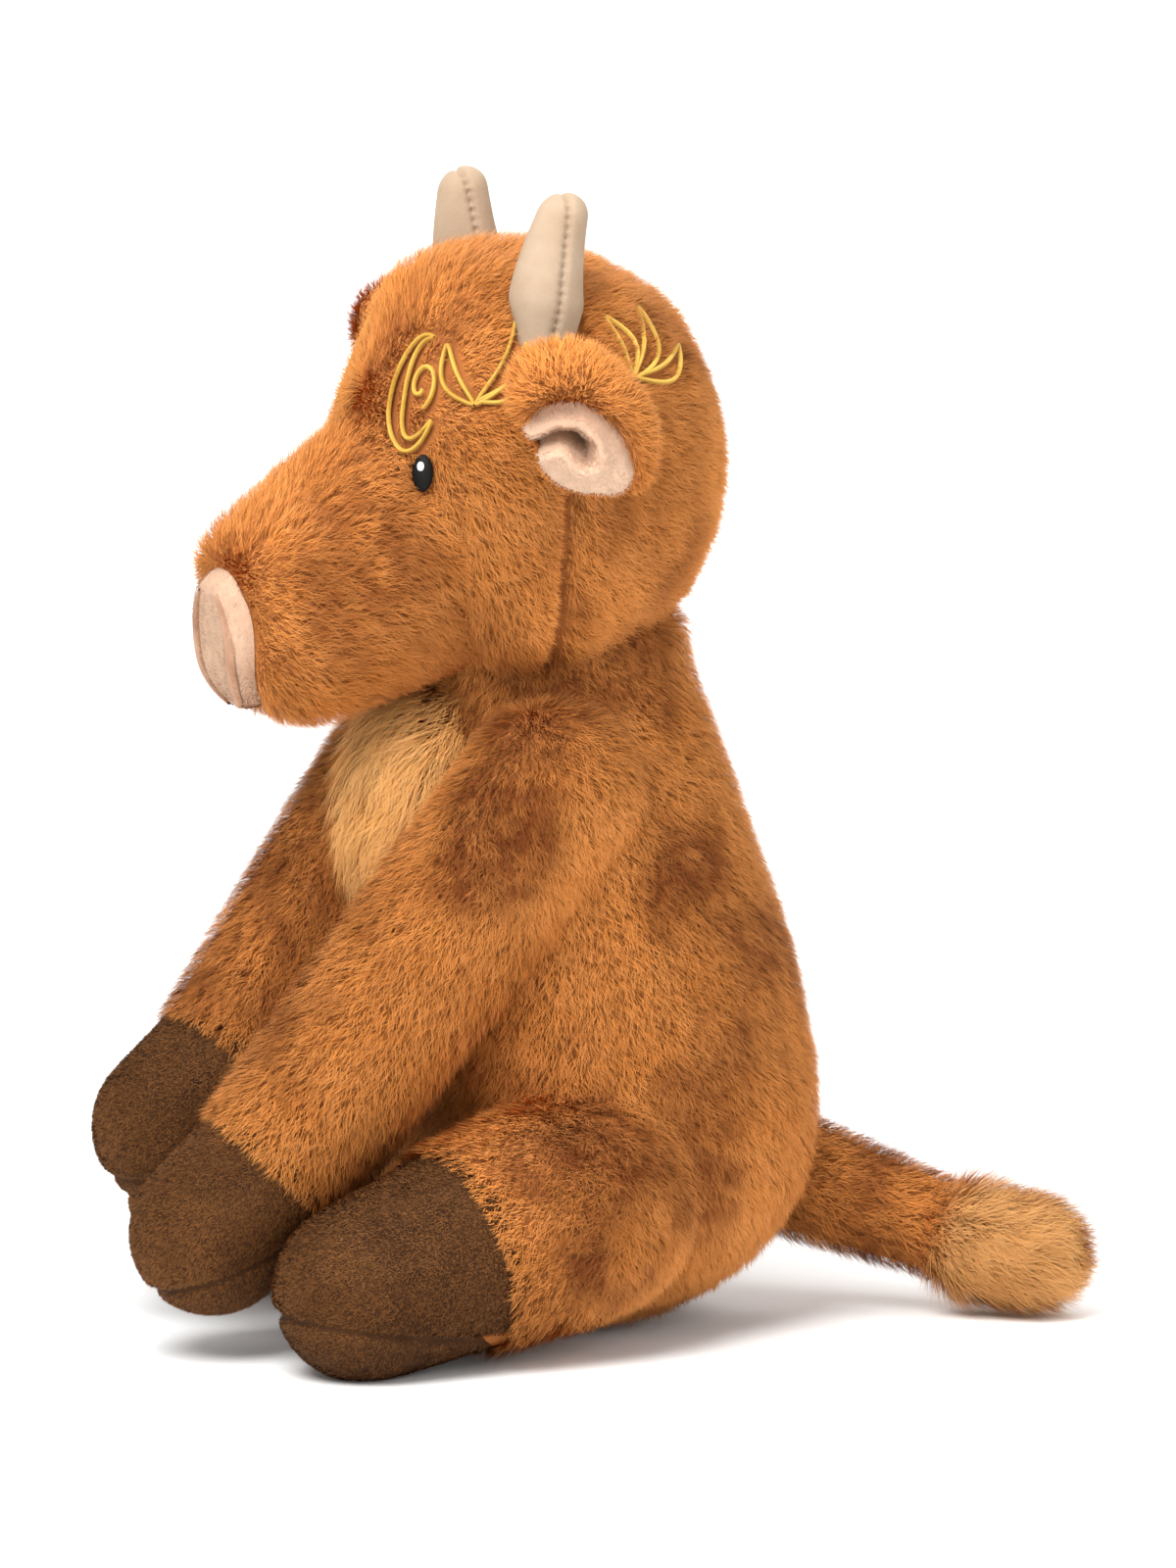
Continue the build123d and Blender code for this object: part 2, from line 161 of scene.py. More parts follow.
def round_points(centre, radii, around=32, up=18):
    """Points spread over an ellipsoid."""
    turn, rise = np.meshgrid(np.linspace(0, 2 * np.pi, around, False), np.linspace(0, np.pi, up))
    ball = np.stack([np.cos(turn) * np.sin(rise), np.sin(turn) * np.sin(rise), np.cos(rise)], -1)
    return ball.reshape(-1, 3) * radii + centre


def wrapped(points):
    """The convex form round some points, as (points, faces)."""
    bm = bmesh.new()
    for p in points:
        bm.verts.new(p)
    made = bmesh.ops.convex_hull(bm, input=bm.verts)
    loose = [g for g in made["geom_interior"] + made["geom_unused"] if isinstance(g, bmesh.types.BMVert)]
    bmesh.ops.delete(bm, geom=list(set(loose)), context="VERTS")
    bm.verts.index_update()
    out = [tuple(v.co) for v in bm.verts], [[v.index for v in f.verts] for f in bm.faces]
    bm.free()
    return out


def wrapped_balls(balls):
    """The convex form round some balls, given as (middle, radius)."""
    return wrapped(np.concatenate([round_points(middle, radius) for middle, radius in balls]))


def tube_form(start, end, start_radius, end_radius):
    """The convex form round two balls."""
    points = [round_points(start, start_radius), round_points(end, end_radius)]
    return wrapped(np.concatenate(points))


def cup_form(start, end, start_radius, end_radius):
    """The convex form from a flat round start to a ball at the end."""
    axis = unit(end - start)
    side = unit(np.cross(axis, [0.3, 0.1, 1.0]))
    turn = np.linspace(0, 2 * np.pi, 48, False)
    ring = np.outer(np.cos(turn), side) + np.outer(np.sin(turn), np.cross(axis, side))
    return wrapped(np.concatenate([start + start_radius * ring, round_points(end, end_radius)]))


def stack_form(stations, inset, around=48):
    """A closed form through level ellipses, from the lowest to the highest."""
    heights = np.array([s[0] for s in stations], float)
    fine = np.linspace(heights[0], heights[-1], 60)
    columns = [np.interp(fine, heights, [s[k] for s in stations]) for k in (1, 2, 3)]
    kernel = np.array([1, 2, 3, 2, 1]) / 9
    columns = [np.convolve(np.pad(c, 2, mode="edge"), kernel, "valid") for c in columns]
    turn = np.linspace(0, 2 * np.pi, around, False)
    rings = []
    for height, middle, half_width, half_depth in zip(fine, *columns):
        level = np.full(around, height)
        ring = np.stack([half_width * np.cos(turn), middle + half_depth * np.sin(turn), level], 1)
        rings.append(ring * 0.001)
    points = np.concatenate(rings)
    centre = np.array([0, rings[0][:, 1].mean(), 0])
    outwards = unit((points - centre) * [1, 1, 0])
    points = points - outwards * inset
    faces = []
    for i in range(len(rings) - 1):
        for j in range(around):
            k = (j + 1) % around
            faces.append((i * around + j, i * around + k, (i + 1) * around + k, (i + 1) * around + j))
    faces.append(tuple(range(around))[::-1])
    faces.append(tuple(range((len(rings) - 1) * around, len(rings) * around)))
    return points, faces


def fused(name, forms, voxel, rounds):
    """One smooth skin round several closed forms: voxel remeshed, then relaxed."""
    points, faces = [], []
    for form_points, form_faces in forms:
        start = len(points)
        points.extend(tuple(p) for p in form_points)
        faces.extend([start + i for i in face] for face in form_faces)
    obj = new_object(name, points, faces)
    remesh = obj.modifiers.new("remesh", "REMESH")
    remesh.mode = "VOXEL"
    remesh.voxel_size = voxel
    relax = obj.modifiers.new("relax", "SMOOTH")
    relax.factor = 0.5
    relax.iterations = rounds
    apply_modifiers(obj)
    points, _, _ = mesh_arrays(obj)
    points[:, 2] = np.maximum(points[:, 2], LOWEST_SKIN)
    set_points(obj, points)
    obj.data.shade_smooth()
    return obj


def apply_modifiers(obj):
    """Keep what the modifiers make as the object's own mesh."""
    seen = obj.evaluated_get(bpy.context.evaluated_depsgraph_get())
    mesh = bpy.data.meshes.new_from_object(seen)
    obj.modifiers.clear()
    obj.data = mesh


def split_off(obj, name, wanted):
    """Move the faces whose every corner is wanted into a new object."""
    rest, part = bmesh.new(), bmesh.new()
    rest.from_mesh(obj.data)
    part.from_mesh(obj.data)
    chosen = [all(wanted[v.index] for v in f.verts) for f in rest.faces]
    rest.faces.ensure_lookup_table()
    part.faces.ensure_lookup_table()
    bmesh.ops.delete(rest, geom=[f for f, c in zip(rest.faces, chosen) if c], context="FACES")
    bmesh.ops.delete(part, geom=[f for f, c in zip(part.faces, chosen) if not c], context="FACES")
    mesh = bpy.data.meshes.new(name)
    part.to_mesh(mesh)
    rest.to_mesh(obj.data)
    part.free()
    rest.free()
    mesh.shade_smooth()
    made = bpy.data.objects.new(name, mesh)
    bpy.context.scene.collection.objects.link(made)
    return made


def tube_distance(points, start, end, start_radius, end_radius):
    """How far points are outside a tapered tube."""
    axis = end - start
    share = np.clip((points - start) @ axis / (axis @ axis), 0, 1)
    middle = start + axis * share[:, None]
    return np.linalg.norm(points - middle, axis=1) - (start_radius + (end_radius - start_radius) * share)


class KDPoints:
    """Distances to the nearest of a set of points."""

    def __init__(self, points):
        self.tree = KDTree(len(points))
        for i, p in enumerate(points):
            self.tree.insert(Vector(p), i)
        self.tree.balance()

    def gaps(self, points):
        """The distance from each point to the nearest."""
        return np.array([self.tree.find(Vector(p))[2] for p in points])


def lattice_noise(points, cell, seed):
    """Smooth random values from 0 to 1 on a grid of cells, the same every run."""
    spot = np.asarray(points) / cell + seed * 17.3
    low = np.floor(spot)
    part = spot - low
    part = part * part * (3 - 2 * part)
    total = 0
    for corner in np.ndindex(2, 2, 2):
        place = low + corner
        value = np.sin(place @ np.array([127.1, 311.7, 74.7]) + seed) * 43758.5453
        weight = np.prod(np.where(corner, part, 1 - part), axis=1)
        total = total + (value - np.floor(value)) * weight
    return total


# ---------------------------------------------------------------- materials
def material(name, roughness, sheen=0.0, sheen_tint=(1, 1, 1)):
    """A node material and its shader; numbers that are the same all over are set on the shader."""
    made = bpy.data.materials.new(name)
    made.use_nodes = True
    shader = made.node_tree.nodes["Principled BSDF"]
    shader.inputs["Roughness"].default_value = roughness
    shader.inputs["Specular IOR Level"].default_value = 0.15
    shader.inputs["Sheen Weight"].default_value = sheen
    shader.inputs["Sheen Roughness"].default_value = 0.5
    shader.inputs["Sheen Tint"].default_value = (*sheen_tint, 1)
    return made, shader


def node(made, kind, **values):
    """A node with its inputs set by name."""
    n = made.node_tree.nodes.new(kind)
    for key, value in values.items():
        n.inputs[key.replace("_", " ")].default_value = value
    return n


def ramp(made, stops):
    """A colour ramp through (place, colour) stops."""
    n = made.node_tree.nodes.new("ShaderNodeValToRGB")
    n.color_ramp.elements[0].position, n.color_ramp.elements[0].color = stops[0][0], (*stops[0][1], 1)
    n.color_ramp.elements[1].position, n.color_ramp.elements[1].color = stops[-1][0], (*stops[-1][1], 1)
    for place, colour in stops[1:-1]:
        n.color_ramp.elements.new(place).color = (*colour, 1)
    return n


def pile_material(name, root, body, tip, dark):
    """Pile coloured along each fibre, with a shade of its own for each fibre and darker patches: patches of
    darker pile from brushing, and painted shade round the eyes.
    The "pile" attribute holds the fibre's shade, the place along it and how far it is in a dark patch."""
    made, shader = material(name, 0.75, 0.25, tip)
    link = made.node_tree.links.new
    pile = made.node_tree.nodes.new("ShaderNodeAttribute")
    pile.attribute_name = "pile"
    parts = made.node_tree.nodes.new("ShaderNodeSeparateColor")
    link(pile.outputs["Color"], parts.inputs["Color"])
    place = made.node_tree.nodes.new("ShaderNodeMath")
    place.operation = "MULTIPLY_ADD"
    place.inputs[1].default_value = 0.68
    link(parts.outputs["Green"], place.inputs[0])
    shade = made.node_tree.nodes.new("ShaderNodeMath")
    shade.operation = "MULTIPLY"
    shade.inputs[1].default_value = 0.32
    link(parts.outputs["Red"], shade.inputs[0])
    link(shade.outputs[0], place.inputs[2])
    # darkest at the root, lightest at the tip: the plush's root colour is painted shade and its tip colour
    # painted light, and the hoof nap's tip colour is a painted sheen
    colours = ramp(made, [(0.0, root), (0.45, body), (1.0, tip)])
    link(place.outputs[0], colours.inputs["Fac"])
    darken = made.node_tree.nodes.new("ShaderNodeMix")
    darken.data_type = "RGBA"
    darken.inputs["B"].default_value = (*dark, 1)
    link(parts.outputs["Blue"], darken.inputs["Factor"])
    link(colours.outputs["Color"], darken.inputs["A"])
    link(darken.outputs["Result"], shader.inputs["Base Color"])
    return made


def cloth_material(name, low, high, grain, bump=0.3, sheen=0.5, roughness=0.85):
    """Short velvety cloth: mottled colour and a fine nap."""
    made, shader = material(name, roughness, sheen, high)
    link = made.node_tree.links.new
    where = made.node_tree.nodes.new("ShaderNodeTexCoord")
    mottle = node(made, "ShaderNodeTexNoise", Scale=90.0, Detail=5.0)
    link(where.outputs["Object"], mottle.inputs["Vector"])
    colours = ramp(made, [(0.3, low), (0.7, high)])
    link(mottle.outputs["Fac"], colours.inputs["Fac"])
    link(colours.outputs["Color"], shader.inputs["Base Color"])
    nap = node(made, "ShaderNodeTexNoise", Scale=grain, Detail=3.0)
    link(where.outputs["Object"], nap.inputs["Vector"])
    relief = node(made, "ShaderNodeBump", Strength=bump, Distance=0.0006)
    link(nap.outputs["Fac"], relief.inputs["Height"])
    link(relief.outputs["Normal"], shader.inputs["Normal"])
    return made


# the root colour is painted shade deep in the pile and the tip colour painted light on the lit tips; dark
# colours the patches of darker pile and the painted shade round the eyes
PLUSH = pile_material(
    "plush_pile",
    root=(0.25, 0.059, 0.009), body=(0.66, 0.215, 0.036),
    tip=(0.93, 0.395, 0.118), dark=(0.17, 0.030, 0.005),
)
LONG = pile_material(
    "long_pile",
    root=(0.56, 0.20, 0.05), body=(0.87, 0.39, 0.10),
    tip=(0.97, 0.60, 0.24), dark=(0.40, 0.18, 0.06),
)
BRUSH = pile_material(
    "tail_brush_pile",
    root=(0.34, 0.11, 0.03), body=(0.70, 0.29, 0.07),
    tip=(0.92, 0.52, 0.21), dark=(0.3, 0.1, 0.04),
)
# the nap's light tip colour is a painted sheen highlight on the hooves
HOOF_NAP_AND_SHEEN = pile_material(
    "hoof_nap_and_painted_sheen",
    root=(0.024, 0.007, 0.002), body=(0.080, 0.028, 0.007),
    tip=(0.36, 0.145, 0.042), dark=(0.03, 0.01, 0.005),
)
HORN_NAP = pile_material(
    "horn_nap",
    root=(0.31, 0.22, 0.14), body=(0.42, 0.31, 0.215),
    tip=(0.50, 0.38, 0.28), dark=(0.4, 0.3, 0.2),
)
PINK_NAP = pile_material(
    "pink_nap",
    root=(0.60, 0.36, 0.23), body=(0.82, 0.56, 0.39),
    tip=(0.95, 0.72, 0.54), dark=(0.5, 0.3, 0.2),
)
NOSE_NAP = pile_material(
    "nose_nap",
    root=(0.45, 0.28, 0.18), body=(0.64, 0.43, 0.30),
    tip=(0.78, 0.56, 0.41), dark=(0.4, 0.2, 0.15),
)
SKIN = cloth_material("plush_backing", (0.24, 0.075, 0.018), (0.40, 0.14, 0.035), 1500.0)
HOOF = cloth_material("hoof_velour", (0.030, 0.011, 0.003), (0.062, 0.024, 0.007), 2200.0, sheen=0.0)
HORN = cloth_material("horn_velour", (0.36, 0.255, 0.17), (0.43, 0.32, 0.225), 2200.0, sheen=0.05)
PINK = cloth_material("pink_velour", (0.66, 0.42, 0.29), (0.80, 0.56, 0.40), 2200.0, sheen=0.1)
NOSE = cloth_material("nose_velour", (0.54, 0.34, 0.23), (0.68, 0.47, 0.33), 2200.0, sheen=0.1)
NOSE_THREAD = cloth_material(
    "nose_thread", (0.30, 0.14, 0.075), (0.56, 0.33, 0.21), 3000.0, sheen=0.1, roughness=0.5
)
GOLD = cloth_material(
    "gold_thread", (0.42, 0.23, 0.03), (0.68, 0.42, 0.08), 3000.0, sheen=0.0, roughness=0.35
)
BLACK = cloth_material(
    "black_thread", (0.002, 0.002, 0.002), (0.008, 0.006, 0.005), 3000.0, sheen=0.0, roughness=0.55
)
WHITE = cloth_material(
    "white_thread", (0.75, 0.75, 0.75), (0.9, 0.9, 0.9), 3000.0, sheen=0.1, roughness=0.5
)


def dress(obj, made, slot, *replaced):
    """Give a piece its material and hide the parts that it replaces."""
    obj.data.materials.clear()
    obj.data.materials.append(made)
    if replaced:
        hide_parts(*replaced)
    return obj


# ---------------------------------------------------------------- pile
MOST_FIBRES = 60000  # fibres in one piece at most; in one piece, so that its triangles stay under the export's limit
QUICK_SHARE = 1.0
LOWEST_TIP = mm(0.3)  # pile under the body is pressed flat on the floor


def sampled(obj, density):
    """Points spread evenly over a mesh, at a density for each square millimetre, with their normals."""
    points, triangles, normals = mesh_arrays(obj)
    a, b, c = (points[triangles[:, i]] for i in range(3))
    area = np.linalg.norm(np.cross(b - a, c - a), axis=1) / 2
    count = int(area.sum() * 1e6 * density * QUICK_SHARE)
    pick = RNG.choice(len(area), count, p=area / area.sum())
    u, v = RNG.random((2, count, 1))
    flip = u + v > 1
    u, v = np.where(flip, 1 - u, u), np.where(flip, 1 - v, v)
    place = a[pick] + u * (b[pick] - a[pick]) + v * (c[pick] - a[pick])
    na, nb, nc = (normals[triangles[pick, i]] for i in range(3))
    return place, unit(na + u * (nb - na) + v * (nc - na))


def fibres(name, place, normal, comb, length, width, made, patch=None, lean=0.5, curl=0.22, clump=mm(1.9)):
    """Pile as tapered ribbons of two spans, one piece for each so many. comb is the way it lies."""
    count = len(place)
    along = comb - normal * (comb * normal).sum(1, keepdims=True)
    along = unit(along)
    side = np.cross(normal, along)
    sway = np.stack([lattice_noise(place, clump, k) for k in (1, 2, 3)], 1) * 2 - 1
    jitter = RNG.normal(0, 1, (count, 3))
    leaning = lean * (1 + 0.35 * sway[:, :1] + 0.18 * jitter[:, :1])
    across = 0.34 * sway[:, 1:2] + 0.22 * jitter[:, 1:2]
    rise = np.maximum(1 - leaning * 0.75, 0.12)
    first = unit(normal * rise * 1.5 + along * leaning + side * across)
    stray = across * 1.6 + 0.1 * jitter[:, 2:3]
    second = unit(normal * (rise - curl) + along * (leaning + curl) + side * stray)
    length = np.broadcast_to(np.asarray(length, float), (count,)) * (0.78 + 0.44 * RNG.random(count))
    root = place - normal * 0.0006
    middle = root + first * (length * 0.5)[:, None]
    tip = middle + second * (length * 0.5)[:, None]
    twist = unit(side + normal * RNG.normal(0, 0.35, (count, 1)))
    half = np.broadcast_to(np.asarray(width, float), (count,))[:, None] / 2
    points = np.stack([root - twist * half, root + twist * half, middle - twist * half * 0.8,
                       middle + twist * half * 0.8, tip], 1)
    points[..., 2] = np.maximum(points[..., 2], LOWEST_TIP)
    shade = 0.5 + 0.2 * RNG.normal(0, 1, count) + 0.5 * (lattice_noise(place, mm(9), 5) - 0.5)
    shade = np.clip(shade, 0, 1)
    patch = np.zeros(count) if patch is None else patch
    colour = np.zeros((count, 5, 4), np.float32)
    colour[..., 0] = shade[:, None]
    colour[..., 1] = np.array([0.0, 0.0, 0.55, 0.55, 1.0])
    colour[..., 2] = patch[:, None]
    colour[..., 3] = 1
    face_way = unit(normal * 0.8 + np.cross(twist, unit(tip - root)) * 0.25 + along * 0.1)
    made_pieces = []
    for start in range(0, count, MOST_FIBRES):
        end = min(start + MOST_FIBRES, count)
        part = f"{name}_{start // MOST_FIBRES}"
        span = slice(start, end)
        made_pieces.append(fibre_mesh(part, points[span], colour[span], face_way[span], made))
    return made_pieces


def fibre_mesh(name, points, colour, face_way, made):
    """One mesh of ribbons: a square and a triangle each, with a place of its own on the colour sheet."""
    count = len(points)
    first = (np.arange(count) * 5)[:, None]
    loops = np.concatenate([first + [1, 0, 2, 3], first + [3, 2, 4]], 1).ravel()
    starts = np.stack([np.arange(count) * 7, np.arange(count) * 7 + 4], 1).ravel()
    mesh = bpy.data.meshes.new(name)
    mesh.vertices.add(count * 5)
    mesh.vertices.foreach_set("co", points.astype(np.float32).ravel())
    mesh.loops.add(count * 7)
    mesh.loops.foreach_set("vertex_index", loops.astype(np.int32))
    mesh.polygons.add(count * 2)
    mesh.polygons.foreach_set("loop_start", starts.astype(np.int32))
    mesh.update(calc_edges=True)
    mesh.shade_smooth()
    pile = mesh.attributes.new("pile", "FLOAT_COLOR", "POINT")
    pile.data.foreach_set("color", colour.ravel())
    sheet = mesh.uv_layers.new(name="OFBake")
    across = math.ceil(math.sqrt(count))
    cell = np.stack([np.arange(count) % across, np.arange(count) // across], 1)[:, None, :]
    corner = np.array([[0.1, 0.1], [0.9, 0.1], [0.9, 0.5], [0.1, 0.5], [0.1, 0.5], [0.9, 0.5], [0.5, 0.9]])
    sheet.data.foreach_set("uv", ((cell + corner) / across).astype(np.float32).ravel())
    mesh.normals_split_custom_set_from_vertices(np.repeat(face_way, 5, axis=0))
    mesh.materials.append(made)
    obj = bpy.data.objects.new(name, mesh)
    bpy.context.scene.collection.objects.link(obj)
    return obj


# ---------------------------------------------------------------- how pieces move
def riding(body):
    """Pieces move with this body."""
    return lambda obj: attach(obj, body)


def bending():
    """Pieces stay where they are, with their placement applied to their mesh."""
    return lambda obj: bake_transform(obj)


def pelt(name, skin, tie, slot, made, comb, density=3.2, length=PILE_LENGTH, width=mm(0.23), bare=None,
         patches=0.9, **lie):
    """The pile of one skin. comb gives the way that it lies at each root; bare gives each root's share
    of its length, and a root with none is left out."""
    place, normal = sampled(skin, density)
    share = np.ones(len(place)) if bare is None else bare(place, normal)
    keep = share > 0.02
    place, normal, share = place[keep], normal[keep], share[keep]
    patch = brushed_patches_and_eye_shade(place) * patches if patches else None
    ways, lengths = comb(place, normal), length * share
    for piece in fibres(name, place, normal, ways, lengths, width, made, patch, **lie):
        tie(piece)


def brushed_patches_and_eye_shade(points):
    """How dark the pile is, from 0 to 1: broad blotches with flecked edges, from brushing, and painted
    shade round the eyes.
    """
    streaked = points * [1, 1, 0.6]
    blotch = lattice_noise(streaked, mm(26), 3) * 0.6 + lattice_noise(streaked, mm(9), 8) * 0.4
    for middle, radius in DARK_SPOTS:
        blotch = blotch + 0.4 * np.exp(-((np.linalg.norm(points - middle, axis=1) / radius) ** 2))
    fleck = lattice_noise(points, mm(1.3), 21) * 0.5 + lattice_noise(points, mm(4), 22) * 0.5
    return np.clip((blotch - 0.51) * 3.6, 0, 1) * np.clip(fleck * 1.7 - 0.1, 0, 1)


def relax_points(obj, rounds):
    """Smooth a skin a little."""
    relax = obj.modifiers.new("relax", "SMOOTH")
    relax.factor = 0.5
    relax.iterations = rounds
    apply_modifiers(obj)
    obj.data.shade_smooth()


def groove(obj, depth, plane_distance, where):
    """Press a seam into a skin where plane_distance is near nought and where is true."""
    points, _, normals = mesh_arrays(obj)
    press = np.exp(-((plane_distance(points) / mm(1.6)) ** 2)) * depth * where(points)
    set_points(obj, points - normals * press[:, None])


# ---------------------------------------------------------------- torso
DARK_SPOTS = [  # where the pile is darkest: middle and reach; the two round the eyes are painted shade of their hollows, the rest patches of darker pile
    (mm(48, -28, 158), mm(13)),
    (mm(57, -38, 143), mm(18)),
    (mm(60, -52, 129), mm(16)),
    (mm(55, 5, 128), mm(15)),
    (mm(42, 24, 103), mm(19)),
    (mm(62, 30, 82), mm(13)),
    (mm(74, -40, 57), mm(15)),
    (mm(72, -38, 32), mm(9)),
    (mm(16, 66, 30), mm(17)),
    (mm(-55, -45, 120), mm(15)),
    (mm(-50, 20, 100), mm(17)),
    (mm(-70, -20, 50), mm(15)),
    # painted shade: darker pile round each eye, which sits in a hollow
    (mm(29, -60, 222), mm(6.5)),
    (mm(-29, -60, 222), mm(6.5)),
    (mm(22, -74, 204), mm(20)),
    (mm(-22, -74, 204), mm(20)),
]


def near_limb(points):
    """How far points are outside every limb, so that pile buried in a limb is left out."""
    gaps = []
    for limbs, radii in ((FRONT_LEGS, FRONT_LEG_RADII), (HIND_LEGS, HIND_LEG_RADII)):
        gaps += [tube_distance(points, root, cuff, *radii[:2]) for root, cuff, _ in limbs.values()]
    return np.min(gaps, axis=0)


def make_torso():
    """The pear-shaped body over its seat, with its back seam, the neck sleeve and the long chest hair."""
    forms = [stack_form(TORSO_STATIONS, PILE_INSET)]
    for limbs, radius in ((FRONT_LEGS, mm(21)), (HIND_LEGS, mm(28))):
        for root, cuff, _ in limbs.values():
            forms.append(tube_form(root, root + (cuff - root) * 0.22, radius, radius))
    torso = fused("torso_plush", forms, mm(2.2), 14)
    groove(torso, mm(1.5), lambda p: p[:, 0], lambda p: p[:, 1] > 0)
    dress(torso, SKIN, "plush", "seat_panel", "belly_panel", "back_panel_left", "back_panel_right",
          "torso_stuffing", "pellet_bag")
    tie = riding("torso")
    tie(torso)

    def bare(place, normal):
        buried = np.clip((near_limb(place) + mm(7)) / mm(2), 0, 1)
        seat = np.clip(place[:, 2] / mm(7), 0.0, 1)
        in_head = np.linalg.norm((place - SKULL) / SKULL_RADII, axis=1) > 0.8
        return buried * seat * in_head

    def comb(place, normal):
        way = np.tile(np.array([0.0, 0.35, -1.0]), (len(place), 1))
        way[:, 1] += 0.35 * (lattice_noise(place, mm(30), 12) - 0.5)
        way[:, 0] += 0.3 * (lattice_noise(place, mm(30), 13) - 0.5)
        return way

    pelt("torso_pile", torso, tie, "plush", PLUSH, comb, bare=bare)

    neck = fused("neck_plush", [tube_form(mm(0, -12, 156), mm(0, -12, 182), mm(32), mm(26))], mm(3), 3)
    dress(neck, SKIN, "plush", "neck_stuffing")
    neck_tie = bending()
    neck_tie(neck)
    pelt("neck_pile", neck, neck_tie, "plush", PLUSH, comb, density=1.0,
         bare=lambda p, n: (p[:, 2] > mm(160)) * (p[:, 2] < mm(176)))

    ruff = fused("chest_hair_base", [wrapped(round_points(mm(0, -43, 131), mm(19, 19, 31)))], mm(2.2), 2)
    dress(ruff, SKIN, "long_pile", "chest_ruff")
    tie(ruff)

    def ruff_comb(place, normal):
        way = np.tile(np.array([0.0, -0.55, -1.0]), (len(place), 1))
        way[:, 0] += 0.9 * (lattice_noise(place, mm(7), 31) - 0.5)
        way[:, 1] += 0.9 * (lattice_noise(place, mm(7), 32) - 0.5)
        return way

    pelt("chest_hair", ruff, tie, "long_pile", LONG, ruff_comb, density=4.5, length=mm(14), width=mm(0.24),
         bare=lambda p, n: (p[:, 1] < mm(-36)) * 1.0, patches=0, lean=0.6, curl=0.45, clump=mm(4))


# ---------------------------------------------------------------- limbs
def make_limb(name, root, cuff, tip, radii, reach):
    """One stuffed leg: plush down to the cuff, then a velour hoof of a top and a sole panel."""
    axis, hoof_axis = unit(cuff - root), unit(tip - cuff)
    balls = [(root, radii[0] - PILE_INSET - mm(4)),
             (root + (cuff - root) * 0.3, radii[0] - PILE_INSET - mm(0.4)),
             (cuff - axis * mm(2), radii[1] - PILE_INSET + mm(1.5))]
    leg = fused(f"{name}_plush", [wrapped_balls(balls)], mm(2), 3)
    dress(leg, SKIN, "plush", f"{name}_cover", f"{name}_stuffing")
    tie = bending()
    tie(leg)

    def bare(place, normal):
        in_torso = np.clip((torso_gap(place) + mm(6)) / mm(2), 0, 1)
        past_cuff = (place - cuff) @ hoof_axis
        return in_torso * np.clip((mm(3) - past_cuff) / mm(2), 0, 1)

    def comb(place, normal):
        way = np.tile(axis, (len(place), 1)) + np.array([0, 0, -0.25])
        way[:, 0] += 0.35 * (lattice_noise(place, mm(25), 14) - 0.5)
        return way

    pelt(f"{name}_pile", leg, tie, "plush", PLUSH, comb, bare=bare)

    cup = cup_form(cuff - hoof_axis * mm(3), tip + hoof_axis * mm(2), radii[1] - mm(2), radii[2] + mm(0.8))
    shape = fused(f"{name}_hoof", [cup], mm(1.1), 3)
    up = unit(np.array([0, 0, 1.0]) - hoof_axis * hoof_axis[2])
    seam = lambda p: (p - tip) @ unit(up - hoof_axis * 0.45) + radii[2] * 0.42
    groove(shape, mm(1.5), seam, lambda p: 1.0)
    points, _, _ = mesh_arrays(shape)
    sole = split_off(shape, f"{name}_hoof_sole", seam(points) < 0)
    shape.name = f"{name}_hoof_top"
    for piece, panel, nap in ((shape, "top", mm(1.7)), (sole, "sole", mm(1.4))):
        node_name = f"{name}_hoof_{panel}"
        dress(piece, HOOF, "hoof_velour", node_name)
        piece.name = f"{node_name}_velour"
        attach(piece, name)
        pelt(f"{node_name}_nap", piece, riding(name), "hoof_velour", HOOF_NAP_AND_SHEEN,
             lambda p, n: np.tile(hoof_axis, (len(p), 1)) + RNG.normal(0, 0.5, (len(p), 3)),
             density=9.0, length=nap, width=mm(0.24), patches=0, lean=0.5,
             bare=lambda p, n: np.clip(np.abs(seam(p)) / mm(0.9), 0, 1) * ((p - cuff) @ hoof_axis > mm(-5)))


def torso_gap(points):
    """How far points are outside the body's outline, near enough."""
    heights = [s[0] * 0.001 for s in TORSO_STATIONS]
    middle, half_width, half_depth = (
        np.interp(points[:, 2], heights, [s[k] * 0.001 for s in TORSO_STATIONS]) for k in (1, 2, 3)
    )
    round_share = np.hypot(points[:, 0] / half_width, (points[:, 1] - middle) / half_depth)
    gap = (round_share - 1) * (half_width + half_depth) / 2
    return np.where(points[:, 2] > heights[-1], mm(30), gap)


def make_tail():
    """A plush tail with a brush of long pale hair."""
    root, cuff, tip = TAIL
    axis = unit(cuff - root)
    tail = fused("tail_plush", [tube_form(root, cuff, mm(14), mm(10.5))], mm(1.6), 2)
    dress(tail, SKIN, "plush", "tail_cover", "tail_stuffing")
    tie = bending()
    tie(tail)
    pelt("tail_pile", tail, tie, "plush", PLUSH, lambda p, n: np.tile(axis, (len(p), 1)),
         bare=lambda p, n: np.clip((torso_gap(p) + mm(5)) / mm(2), 0, 1))
    brush_axis = unit(tip - cuff)
    brush = fused("tail_brush_base", [tube_form(cuff + brush_axis * mm(2), tip, mm(10), mm(9))], mm(1.4), 2)
    dress(brush, SKIN, "long_pile", "tail_tuft")
    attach(brush, "tail")

    def comb(place, normal):
        way = np.tile(brush_axis, (len(place), 1)) * 1.2
        return way + 0.7 * (np.stack([lattice_noise(place, mm(4), k) for k in (41, 42, 43)], 1) - 0.5)

    pelt("tail_brush", brush, riding("tail"), "long_pile", BRUSH, comb, density=9.0, length=mm(12),
         width=mm(0.22), patches=0, lean=0.45, curl=0.3, clump=mm(3))


